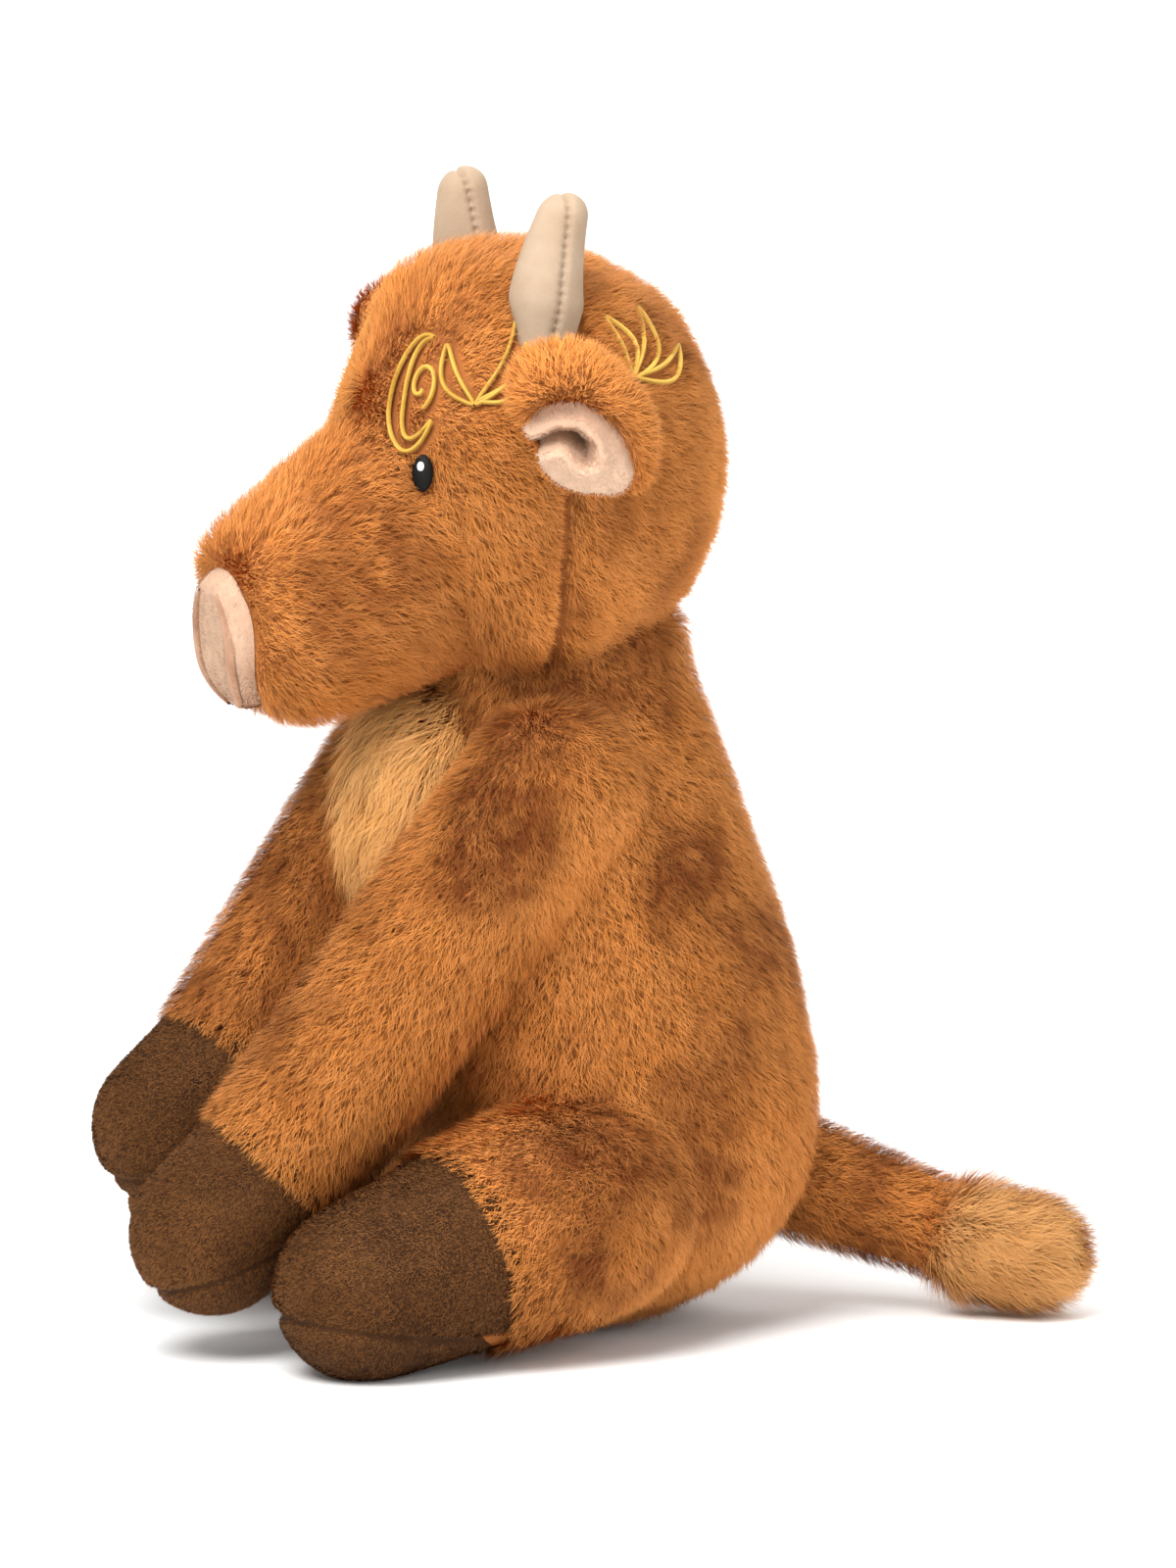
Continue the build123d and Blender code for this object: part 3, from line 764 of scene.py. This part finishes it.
# ---------------------------------------------------------------- head
EYE = mm(31.5, -58.3, 223.5)
EYE_WAY = unit([0.72, -0.68, 0.1])
EYE_HALF_WIDTH, EYE_HALF_HEIGHT = mm(2.9), mm(4.7)
HORNS = {  # foot and tip
    "left": (mm(33, -25, 258), mm(33, -20.5, 286.5)),
    "right": (mm(-33, -16.8, 258), mm(-33, -21.2, 286.5)),
}
HORN_TIP_RADIUS = mm(6.6)
CHEEK_SEAM_Y = mm(-24)
NOSE_HALF_WIDTH, NOSE_HALF_HEIGHT = mm(16.5), mm(17.5)


def crescent_lines():
    """A crescent leaf with a curl in its hollow, as lines of (right, up) in mm."""
    turn = np.radians(np.linspace(75, 335, 70))
    outer = np.stack([7.5 * np.cos(turn), 15 * np.sin(turn) - 1], 1)
    share = np.linspace(0, 1, 70)
    thick = 4.6 * np.sin(np.pi * share) ** 0.8
    inner = outer - np.stack([np.cos(turn), np.sin(turn)], 1) * thick[:, None]
    curl = np.radians(np.linspace(-60, 330, 60))
    small = np.linspace(4.2, 1.0, 60)[:, None]
    hollow = np.stack([np.cos(curl), 1.6 * np.sin(curl)], 1) * small + [1.5, 1.0]
    return [outer, inner, hollow]


def leaf(foot, lean, length, half):
    """One pointed leaf, as its two edges."""
    share = np.linspace(0, 1, 40)
    bulge = half * np.sin(np.pi * share) ** 0.75
    bow = 0.16 * length * np.sin(np.pi * share)
    way = np.array([math.sin(math.radians(lean)), math.cos(math.radians(lean))])
    across = np.array([way[1], -way[0]])
    spine = np.array(foot) + np.outer(share * length, way) + np.outer(bow * np.sign(lean or 1), across)
    return [spine + np.outer(bulge, across), spine - np.outer(bulge, across)]


def sprig_lines():
    """Two leaves and a bud from one foot, as lines of (right, up) in mm."""
    return leaf((0, -13), 18, 27, 2.4) + leaf((-0.5, -13), -28, 18, 2.2) + leaf((1, -12), 52, 13, 1.7)


def frond_lines():
    """A spreading frond, as lines of (right, up) in mm."""
    return leaf((-11, -9), 38, 24, 2.4) + leaf((-10, -9), 72, 24, 2.3) + leaf((-11, -8), 4, 17, 2.2)


SCROLLS = {  # middle of each motif on the left side, and its lines
    "crescent": (mm(23.4, -57.5, 244.5), crescent_lines),
    "sprig": (mm(33.5, -43, 253.5), sprig_lines),
    "frond": (mm(35, 4, 256), frond_lines),
}


def scroll_paths(tree):
    """Every gold line as points and normals on the head's skin."""
    paths = []
    for side, sign in SIDES.items():
        for label, (middle, motif) in SCROLLS.items():
            centre, normal, _, _ = tree.find_nearest(Vector(middle))
            normal = np.array(normal)
            up = unit(np.array([0, 0, 1.0]) - normal * normal[2])
            right = np.cross(up, normal)
            for number, line in enumerate(motif()):
                flat = np.array(centre) + (line[:, :1] * right + line[:, 1:] * up) * 0.001
                found = [tree.find_nearest(Vector(p)) for p in flat]
                spots = np.array([f[0] for f in found])
                ways = unit(np.array([f[1] for f in found]))
                flip = np.array([sign, 1, 1])
                paths.append((f"gold_{label}_{number}_{side}", spots * flip, ways * flip))
    return paths


def satin_ribbon(name, spots, ways, half_width, height):
    """A padded ribbon of satin stitches that follows points on a skin."""
    count = len(spots)
    widths = np.broadcast_to(half_width, (count,))
    run = unit(np.gradient(spots, axis=0))
    across = unit(np.cross(ways, run))
    profile = np.linspace(-1, 1, 9)
    rings = [
        spots + across * (widths * w)[:, None] + ways * (height * math.sqrt(max(1 - w * w, 0)) - mm(0.4))
        for w in profile
    ]
    points = np.stack(rings, 1).reshape(-1, 3)
    faces = []
    n = len(profile)
    for i in range(count - 1):
        for j in range(n - 1):
            faces.append((i * n + j, (i + 1) * n + j, (i + 1) * n + j + 1, i * n + j + 1))
    return new_object(name, points, faces)


def dense_line(spots, ways, step):
    """The same line with points a step apart, so that each stitch has room."""
    lengths = np.concatenate([[0], np.cumsum(np.linalg.norm(np.diff(spots, axis=0), axis=1))])
    places = np.arange(0, lengths[-1], step)
    columns = [np.interp(places, lengths, spots[:, k]) for k in range(3)]
    normals = [np.interp(places, lengths, ways[:, k]) for k in range(3)]
    return np.stack(columns, 1), unit(np.stack(normals, 1))


def make_head():
    """The head with its muzzle, then what is sewn on it."""
    skull = [round_points(SKULL, SKULL_RADII - PILE_INSET)]
    skull += [round_points(middle, radius - PILE_INSET) for middle, radius in SKULL_BALLS]
    muzzle = [round_points(middle, radius - PILE_INSET) for middle, radius in MUZZLE_BALLS]
    forms = [wrapped(np.concatenate(skull)), wrapped(np.concatenate(muzzle))]
    head = fused("head_plush", forms, mm(1.7), 4)
    below_ear = lambda p: (p[:, 2] < mm(238)) * 1.0
    groove(head, mm(3.4), lambda p: (p[:, 1] - CHEEK_SEAM_Y) * 0.8, below_ear)
    groove(head, mm(1.4), lambda p: p[:, 0], lambda p: (p[:, 1] > CHEEK_SEAM_Y) * 1.0)
    dress(head, SKIN, "plush", "head_back_left", "head_back_right", "cheek_left", "cheek_right",
          "forehead_panel", "muzzle_top", "muzzle_chin", "head_stuffing")
    tie = riding("head")
    tie(head)
    points, triangles, _ = mesh_arrays(head)
    tree = BVHTree.FromPolygons([tuple(p) for p in points], [tuple(t) for t in triangles])
    paths = scroll_paths(tree)
    lines = np.concatenate([spots for _, spots, _ in paths])
    gold = KDPoints(lines)

    def bare(place, normal):
        share = np.ones(len(place))
        for sign in SIDES.values():
            eye_spot = EYE * [sign, 1, 1]
            offset = place - eye_spot
            across = np.hypot(offset[:, 0], offset[:, 1]) / EYE_HALF_WIDTH
            eye_gap = np.hypot(across, offset[:, 2] / EYE_HALF_HEIGHT)
            near_eye = np.linalg.norm(offset, axis=1) < mm(14)
            share = np.where(near_eye, share * np.clip((eye_gap - 1.1) * 0.9, 0, 1), share)
        for foot, _ in HORNS.values():
            share *= np.linalg.norm(place - foot, axis=1) > mm(8.5)
        off_nose = nose_reach(place)
        on_end = (place[:, 1] < mm(-76)) & (normal @ NOSE_WAY > 0.1)
        share *= np.where(on_end, np.clip((off_nose - 0.93) * 4, 0, 1), 1)
        from_seam = place[:, 1] - CHEEK_SEAM_Y
        seam = np.clip(np.abs(from_seam) / np.where(from_seam < 0, mm(5.5), mm(2.2)), 0.1, 1)
        share *= np.where(place[:, 2] < mm(236), seam, 1)
        upper = np.flatnonzero(place[:, 2] > mm(228))
        share[upper] *= np.clip((gold.gaps(place[upper]) - mm(0.6)) / mm(1.8), 0, 1)
        return share

    def comb(place, normal):
        way = np.stack([np.zeros(len(place)), np.full(len(place), 0.95), np.full(len(place), -0.55)], 1)
        high = np.clip((place[:, 2] - mm(235)) / mm(25), 0, 1)
        way[:, 2] += 0.55 * high
        front = np.clip((mm(-55) - place[:, 1]) / mm(15), 0, 1)
        way[:, 2] += front * 0.45
        way += 0.5 * (np.stack([lattice_noise(place, mm(22), k) for k in (15, 16, 17)], 1) - 0.5)
        return way

    pelt("head_pile", head, tie, "plush", PLUSH, comb, bare=bare, patches=0.65)
    for name, spots, ways in paths:
        spots, ways = dense_line(spots, ways, mm(0.22))
        wobble = 1 + 0.25 * np.where(np.arange(len(spots)) % 2, 1, -1)
        ribbon = satin_ribbon(name, spots + ways * mm(1.7), ways, mm(0.55) * wobble, mm(0.9))
        dress(ribbon, GOLD, "gold_thread", "forehead_scrolls")
        tie(ribbon)
    for side, sign in SIDES.items():
        make_eye(side, sign)
        make_horn(side)
        make_ear(side, sign)
    make_nose(tree)


def nose_reach(points):
    """How far points are from the nose's middle, as a share of its outline, seen along its way."""
    up = unit(np.array([0, 0, 1.0]) - NOSE_WAY * NOSE_WAY[2])
    offset = points - NOSE_MIDDLE
    across, rise = offset[:, 0], offset @ up
    half_width = NOSE_HALF_WIDTH * (1 + 0.12 * np.clip(rise / NOSE_HALF_HEIGHT, -1, 1))
    return (np.abs(across / half_width) ** 2.3 + np.abs(rise / NOSE_HALF_HEIGHT) ** 2.3) ** (1 / 2.3)


def cap_points(centre, way, up, half_width, half_height, bulge, rings=14, around=64):
    """An oval dome: points and faces."""
    right = np.cross(up, way)
    points = [centre + way * bulge]
    for r in np.linspace(0, 1, rings + 1)[1:]:
        lift = way * (bulge * (math.sqrt(max(1 - r * r * 0.98, 0))))
        for turn in np.linspace(0, 2 * np.pi, around, False):
            across = right * (half_width * r * math.cos(turn))
            points.append(centre + across + up * (half_height * r * math.sin(turn)) + lift)
    faces = [(0, 1 + j, 1 + (j + 1) % around) for j in range(around)]
    for i in range(rings - 1):
        for j in range(around):
            k = (j + 1) % around
            a, b = 1 + i * around, 1 + (i + 1) * around
            faces.append((a + j, b + j, b + k, a + k))
    return points, faces


def make_eye(side, sign):
    """A black satin-stitched eye with a white stitched highlight."""
    spot = EYE * [sign, 1, 1]
    way = unit(EYE_WAY * [sign, 1, 1])
    up = unit(np.array([0, 0, 1.0]) - way * way[2])
    back = spot - way * mm(2.2)
    oval = cap_points(back, way, up, EYE_HALF_WIDTH, EYE_HALF_HEIGHT, mm(1.9))
    eye = new_object(f"eye_{side}_stitched", *oval)
    points, _, normals = mesh_arrays(eye)
    ridge = np.sin((points @ unit(up * 0.9 + np.cross(up, way) * 0.4)) / mm(0.09)) * mm(0.05)
    set_points(eye, points + normals * ridge[:, None])
    dress(eye, BLACK, "black_thread", f"eye_{side}")
    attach(eye, "head")
    glint_spot = back + way * mm(1.75) + up * mm(1.7)
    oval = cap_points(glint_spot, way, up, mm(0.95), mm(1.2), mm(0.5), 6, 32)
    glint = new_object(f"eye_glint_{side}_stitched", *oval)
    dress(glint, WHITE, "white_thread", f"eye_glint_{side}")
    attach(glint, "head")


def horn_share(points, foot, tip):
    """How far up the horn points are, from 0 at its foot to 1 at its tip."""
    length = np.linalg.norm(tip - foot)
    return np.clip((points - foot) @ unit(tip - foot) / length, 0, 1.3)


def make_horn(side):
    """A stuffed velour horn, sewn down its outer and inner sides."""
    foot, tip = HORNS[side]
    axis = unit(tip - foot)
    belly = foot + (tip - foot) * 0.28
    balls = [(foot - axis * mm(2), mm(7.2)), (belly, mm(9.6)), (tip, HORN_TIP_RADIUS)]
    shape = fused(f"horn_{side}_shape", [wrapped_balls(balls)], mm(0.7), 4)
    points, _, _ = mesh_arrays(shape)
    points = points + np.outer(np.sin(horn_share(points, foot, tip) * np.pi) * mm(1.2), [0, -1.0, 0])
    set_points(shape, points)
    seam = lambda p: p[:, 1] - (foot[1] + (tip[1] - foot[1]) * horn_share(p, foot, tip)) + mm(0.6)
    stitches = lambda p: 0.75 + 0.25 * np.sin((p - foot) @ axis * 2 * np.pi / mm(2.4))
    groove(shape, mm(1.5), lambda p: seam(p) * 1.9, stitches)
    points, _, _ = mesh_arrays(shape)
    back = split_off(shape, f"horn_{side}_back", seam(points) > 0)
    shape.name = f"horn_{side}_front"
    for piece, nodes in ((shape, HORN_NODES[side][:2]), (back, HORN_NODES[side][2:])):
        dress(piece, HORN, "horn_velour", *nodes)
        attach(piece, "head")
        pelt(f"{piece.name}_nap", piece, riding("head"), "horn_velour", HORN_NAP,
             lambda p, n: np.tile(-axis, (len(p), 1)) + RNG.normal(0, 0.6, (len(p), 3)),
             density=9.0, length=mm(0.7), width=mm(0.13), patches=0, lean=0.5)


HORN_NODES = {
    side: [f"horn_{side}_front_panel", f"horn_{side}_stuffing", f"horn_{side}_back_panel"] for side in SIDES
}
EAR_ROOT, EAR_MIDDLE = mm(45.5, -29, 247), mm(66, -30, 236)
EAR_OPENING = unit([0.9, -0.38, -0.22])
EAR_OUTLINE = [  # degrees round the fold, how far the lining reaches there and how far the plush, in mm
    (-180, 10.2, 10.5),
    (-160, 10.1, 10.4),
    (-139, 10.7, 11.0),
    (-105, 11.3, 11.6),
    (-72, 12.7, 13.2),
    (-52, 15.6, 17.5),
    (-42, 16.2, 21.7),
    (-28, 15.4, 21.2),
    (-4, 12.0, 20.9),
    (27, 10.4, 21.8),
    (62, 10.2, 23.9),
    (88, 11.6, 28.9),
    (107, 12.8, 30.2),
    (122, 13.5, 29.9),
    (139, 14.2, 25.7),
    (158, 14.6, 18.6),
    (170, 12.2, 12.5),
    (180, 10.2, 10.5),
]
EAR_CREASE = [  # right, up, half width and depth of the fold from its outer end to its pit, in mm
    (-12.5, -0.8, 1.1, 3.5),
    (-8.5, 1.6, 1.4, 5.0),
    (-4.8, 2.9, 1.8, 7.0),
    (-1.6, 2.2, 2.3, 9.0),
    (0.6, 0.0, 2.4, 8.5),
    (1.8, -2.8, 1.5, 4.5),
]


def crease_depth(x, y):
    """How far the fold presses the lining in at a place, less the rounded lips beside it."""
    depth, gap = 0.0, mm(99)
    for (x0, y0, w0, d0), (x1, y1, w1, d1) in zip(EAR_CREASE, EAR_CREASE[1:]):
        for share in np.linspace(0, 1, 7):
            from_line = np.hypot(x - mm(x0 + (x1 - x0) * share), y - mm(y0 + (y1 - y0) * share))
            width, deep = mm(w0 + (w1 - w0) * share), mm(d0 + (d1 - d0) * share)
            depth = np.maximum(depth, deep * np.exp(-((from_line / width) ** 2)))
            gap = np.minimum(gap, from_line)
    return depth - mm(1.5) * np.exp(-(((gap - mm(4)) / mm(2)) ** 2))


def make_ear(side, sign):
    """A folded ear: the plush back rolls over the rim on to the velour lining, which is creased inwards."""
    flip = np.array([sign, 1, 1])
    way = EAR_OPENING
    up = unit(np.array([0, 0, 1.0]) - way * way[2])
    right = np.cross(up, way)
    laid_back = mm(0, 9, 0) * (sign < 0)
    middle = EAR_MIDDLE + right * mm(1.0) + up * mm(-2.5) + way * mm(2) + laid_back
    around = 96
    turns = np.radians(np.linspace(-180, 180, around, False))
    outline = np.array(EAR_OUTLINE)
    lining_reach = np.interp(np.degrees(turns), outline[:, 0], outline[:, 1]) * 0.001
    plush_reach = (np.interp(np.degrees(turns), outline[:, 0], outline[:, 2]) - 3.0) * 0.001
    kernel = np.array([1, 2, 3, 2, 1]) / 9
    lining_reach = np.convolve(np.pad(lining_reach, 2, mode="wrap"), kernel, "valid")
    plush_reach = np.convolve(np.pad(plush_reach, 2, mode="wrap"), kernel, "valid")
    plush_reach = np.maximum(plush_reach, lining_reach * 0.98)
    cos, sin = np.cos(turns), np.sin(turns)

    def ring(reach, height):
        level = np.outer(np.broadcast_to(height, cos.shape), way)
        return middle + np.outer(cos * reach, right) + np.outer(sin * reach, up) + level

    rim = plush_reach - lining_reach
    lining_rings = []
    for share in np.linspace(0.03, 1.04, 34):
        reach = lining_reach * share
        crown = mm(2.8) * math.sqrt(max(1 - (share * 0.96) ** 2, 0))
        height = crown - crease_depth(cos * reach, sin * reach)
        lining_rings.append(ring(reach, height - mm(1.2)))
    lining = ringed(f"ear_{side}_lining", lining_rings, flip)
    dress(lining, PINK, "pink_velour", f"ear_lining_{side}")

    plush_rings = []
    for turn in np.linspace(-1.0, 1.0, 26):
        bend = turn * np.pi / 2
        roll = np.maximum(rim, mm(1)) / 2
        reach = lining_reach + roll * (1 + math.sin(bend)) if turn < 1 else plush_reach
        plush_rings.append(ring(reach, np.minimum(roll, mm(4.5)) * math.cos(bend) - mm(1.0)))
    for turn in np.linspace(0.1, 1.0, 14):
        bend = turn * np.pi / 2
        toward = np.outer(np.ones(around), EAR_ROOT + up * mm(-2) - way * mm(2))
        rings = ring(plush_reach * math.cos(bend * 0.8), -mm(11) * math.sin(bend) - mm(1.0))
        plush_rings.append(rings * (1 - 0.55 * turn**2) + toward * 0.55 * turn**2)
    back = ringed(f"ear_{side}_back", plush_rings, flip, closed=True)
    dress(back, SKIN, "plush", f"ear_back_{side}")
    relax_points(back, 4)
    body = f"ear_{side}"
    for piece in (lining, back):
        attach(piece, body)

    def comb(place, normal):
        away = place - middle * flip
        return unit(away) + np.array([0, 0.2, -0.5]) + way * flip * -0.3

    lining_tree = KDPoints(np.concatenate(lining_rings) * flip)

    def bare(place, normal):
        gap = lining_tree.gaps(place)
        return np.clip(0.2 + gap / mm(3.2), 0, 0.95)

    pelt(f"ear_{side}_pile", back, riding(body), "plush", PLUSH, comb, density=4.0, length=mm(5.0),
         bare=bare, patches=0.4)
    pelt(f"ear_{side}_nap", lining, riding(body), "pink_velour", PINK_NAP,
         lambda p, n: (p - middle * flip) + RNG.normal(0, 0.004, (len(p), 3)),
         density=12.0, length=mm(1.6), width=mm(0.16), patches=0, lean=0.4)


def ringed(name, rings, flip, closed=False):
    """A surface through rings of points, mirrored where flip says so."""
    around = len(rings[0])
    points = np.concatenate(rings) * flip
    faces = []
    for i in range(len(rings) - 1):
        for j in range(around):
            k = (j + 1) % around
            faces.append((i * around + j, (i + 1) * around + j, (i + 1) * around + k, i * around + k))
    last = tuple(range((len(rings) - 1) * around, len(rings) * around))
    if closed:
        faces.append(last[::-1])
    else:
        faces.append(tuple(range(around)))
    if flip[0] < 0:
        faces = [f[::-1] for f in faces]
    return new_object(name, points, faces)


def make_nose(tree):
    """The velour pad on the muzzle's end and the satin-stitched nostrils."""
    up = unit(np.array([0, 0, 1.0]) - NOSE_WAY * NOSE_WAY[2])

    def on_nose(across, rise, lift):
        start = NOSE_MIDDLE + np.array([across, 0, 0]) + up * rise + NOSE_WAY * mm(30)
        spot, way, _, _ = tree.ray_cast(Vector(start), Vector(-NOSE_WAY))
        way = np.array(way)
        return np.array(spot) + way * lift, way

    rings = []
    turns = np.linspace(0, 2 * np.pi, 96, False)
    for share in np.linspace(0.02, 1.0, 26):
        tuck = mm(4.5) * np.clip((share - 0.72) / 0.28, 0, 1) ** 2
        ring = []
        for turn in turns:
            cos, sin = math.cos(turn), math.sin(turn)
            reach = share / (abs(cos) ** 2.3 + abs(sin) ** 2.3) ** (1 / 2.3)
            rise = NOSE_HALF_HEIGHT * reach * sin
            width = NOSE_HALF_WIDTH * (1 + 0.12 * reach * sin)
            ring.append(on_nose(-width * reach * cos, rise, mm(4.5) - tuck)[0])
        rings.append(np.array(ring))
    pad = ringed("nose_velour_pad", rings, np.array([-1, 1, 1]))
    relax_points(pad, 3)
    dress(pad, NOSE, "nose_velour", "nose_pad")
    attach(pad, "head")
    pelt("nose_nap", pad, riding("head"), "nose_velour", NOSE_NAP,
         lambda p, n: np.tile([0, 0, -1.0], (len(p), 1)),
         density=10.0, length=mm(0.6), width=mm(0.13), patches=0, lean=0.5)
    for side, sign in SIDES.items():
        spots, ways = [], []
        for share in np.linspace(0, 1, 60):
            turn = math.radians(62 - 140 * share)
            across = NOSE_HALF_WIDTH * (0.06 + 0.60 * math.cos(turn))
            rise = NOSE_HALF_HEIGHT * 0.80 * math.sin(turn)
            spot, way = on_nose(across * sign, rise, mm(4.5))
            spots.append(spot)
            ways.append(way)
        spots, ways = dense_line(np.array(spots), np.array(ways), mm(0.25))
        share = np.linspace(0, 1, len(spots))
        half = mm(3.0) * np.sin(np.pi * np.clip(share, 0.04, 0.96)) ** 0.6
        half = half * (1 + 0.04 * np.where(np.arange(len(spots)) % 2, 1, -1))
        band = satin_ribbon(f"nostril_{side}_stitched", spots, ways, half, mm(1.0))
        points, _, normals = mesh_arrays(band)
        stitch = np.repeat(np.where(np.arange(len(spots)) % 2, 1, -1), 9) * mm(0.05)
        set_points(band, points + normals * stitch[:, None])
        dress(band, NOSE_THREAD, "nose_thread", "nostril_stitching")
        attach(band, "head")


make_torso()
for side, spots in FRONT_LEGS.items():
    make_limb(f"front_leg_{side}", *spots, FRONT_LEG_RADII, mm(26))
for side, spots in HIND_LEGS.items():
    make_limb(f"hind_leg_{side}", *spots, HIND_LEG_RADII, mm(22))
make_tail()
make_head()


# ---------------------------------------------------------------- the studio
CAMERA_TURN, CAMERA_RISE = 68, 8.5  # degrees


def see_through(made, shader):
    """Leave the paper's back clear, so that the object shows from behind it too."""
    nodes, link = made.node_tree.nodes, made.node_tree.links.new
    clear = nodes.new("ShaderNodeBsdfTransparent")
    facing = nodes.new("ShaderNodeNewGeometry")
    mix = nodes.new("ShaderNodeMixShader")
    link(facing.outputs["Backfacing"], mix.inputs["Fac"])
    link(shader.outputs["BSDF"], mix.inputs[1])
    link(clear.outputs["BSDF"], mix.inputs[2])
    link(mix.outputs["Shader"], nodes["Material Output"].inputs["Surface"])


def looking_from(turn, rise):
    """The way to a place so many degrees round from the front and up from level."""
    a, e = math.radians(turn), math.radians(rise)
    return Vector((math.sin(a) * math.cos(e), -math.cos(a) * math.cos(e), math.sin(e)))


def make_studio():
    """A pale sweep, soft lights and the camera."""
    floor_z = CAD_BOX[0][2]
    bend = np.linspace(0, math.pi / 2, 16)[1:]
    profile = [(-12.0, 0.0), (1.0, 0.0)]
    profile += [(1.0 + 0.6 * math.sin(a), 0.6 - 0.6 * math.cos(a)) for a in bend]
    profile.append((1.6, 3.0))
    look = math.radians(CAMERA_TURN)
    away = np.array([-math.sin(look), math.cos(look), 0])
    side = np.array([math.cos(look), math.sin(look), 0])
    points, faces = [], []
    for run, rise in profile:
        for edge in (-4, 4):
            points.append(away * run + side * edge + [0, 0, floor_z + rise])
    for i in range(len(profile) - 1):
        faces.append((2 * i, 2 * i + 1, 2 * i + 3, 2 * i + 2))
    sweep = new_object("studio_sweep", points, faces)
    made, shader = material("sweep_paper", 0.9)
    shader.inputs["Base Color"].default_value = (0.95, 0.95, 0.94, 1)
    see_through(made, shader)
    sweep.data.materials.append(made)
    target = Vector((0, 0, 0.12))
    for name, turn, rise, reach, size, power in (
        ("key", 40, 48, 1.3, 0.8, 20),
        ("fill", 120, 20, 1.5, 1.2, 6),
        ("top", 68, 80, 1.3, 1.2, 7),
        ("rim", 240, 35, 1.5, 0.8, 8),
    ):
        back = looking_from(turn, rise)
        lamp = bpy.data.lights.new(name, "AREA")
        lamp.shape, lamp.size, lamp.energy = "DISK", size, power
        obj = bpy.data.objects.new(name, lamp)
        bpy.context.scene.collection.objects.link(obj)
        obj.location = target + back * reach
        obj.rotation_mode = "QUATERNION"
        obj.rotation_quaternion = back.to_track_quat("Z", "Y")
    world = bpy.context.scene.world or bpy.data.worlds.new("studio")
    bpy.context.scene.world = world
    world.use_nodes = True
    sky = world.node_tree.nodes["Background"]
    sky.inputs["Color"].default_value = (1, 1, 1, 1)
    sky.inputs["Strength"].default_value = 0.62
    lens = bpy.data.cameras.new("camera")
    lens.lens = 360
    lens.clip_end = 20
    camera = bpy.data.objects.new("camera", lens)
    bpy.context.scene.collection.objects.link(camera)
    back = looking_from(CAMERA_TURN, CAMERA_RISE)
    camera.location = Vector((0, 0, 0.137)) + back * 4
    camera.rotation_mode = "QUATERNION"
    camera.rotation_quaternion = back.to_track_quat("Z", "Y")
    bpy.context.scene.camera = camera


make_studio()
bpy.context.scene.view_settings.view_transform = "Standard"
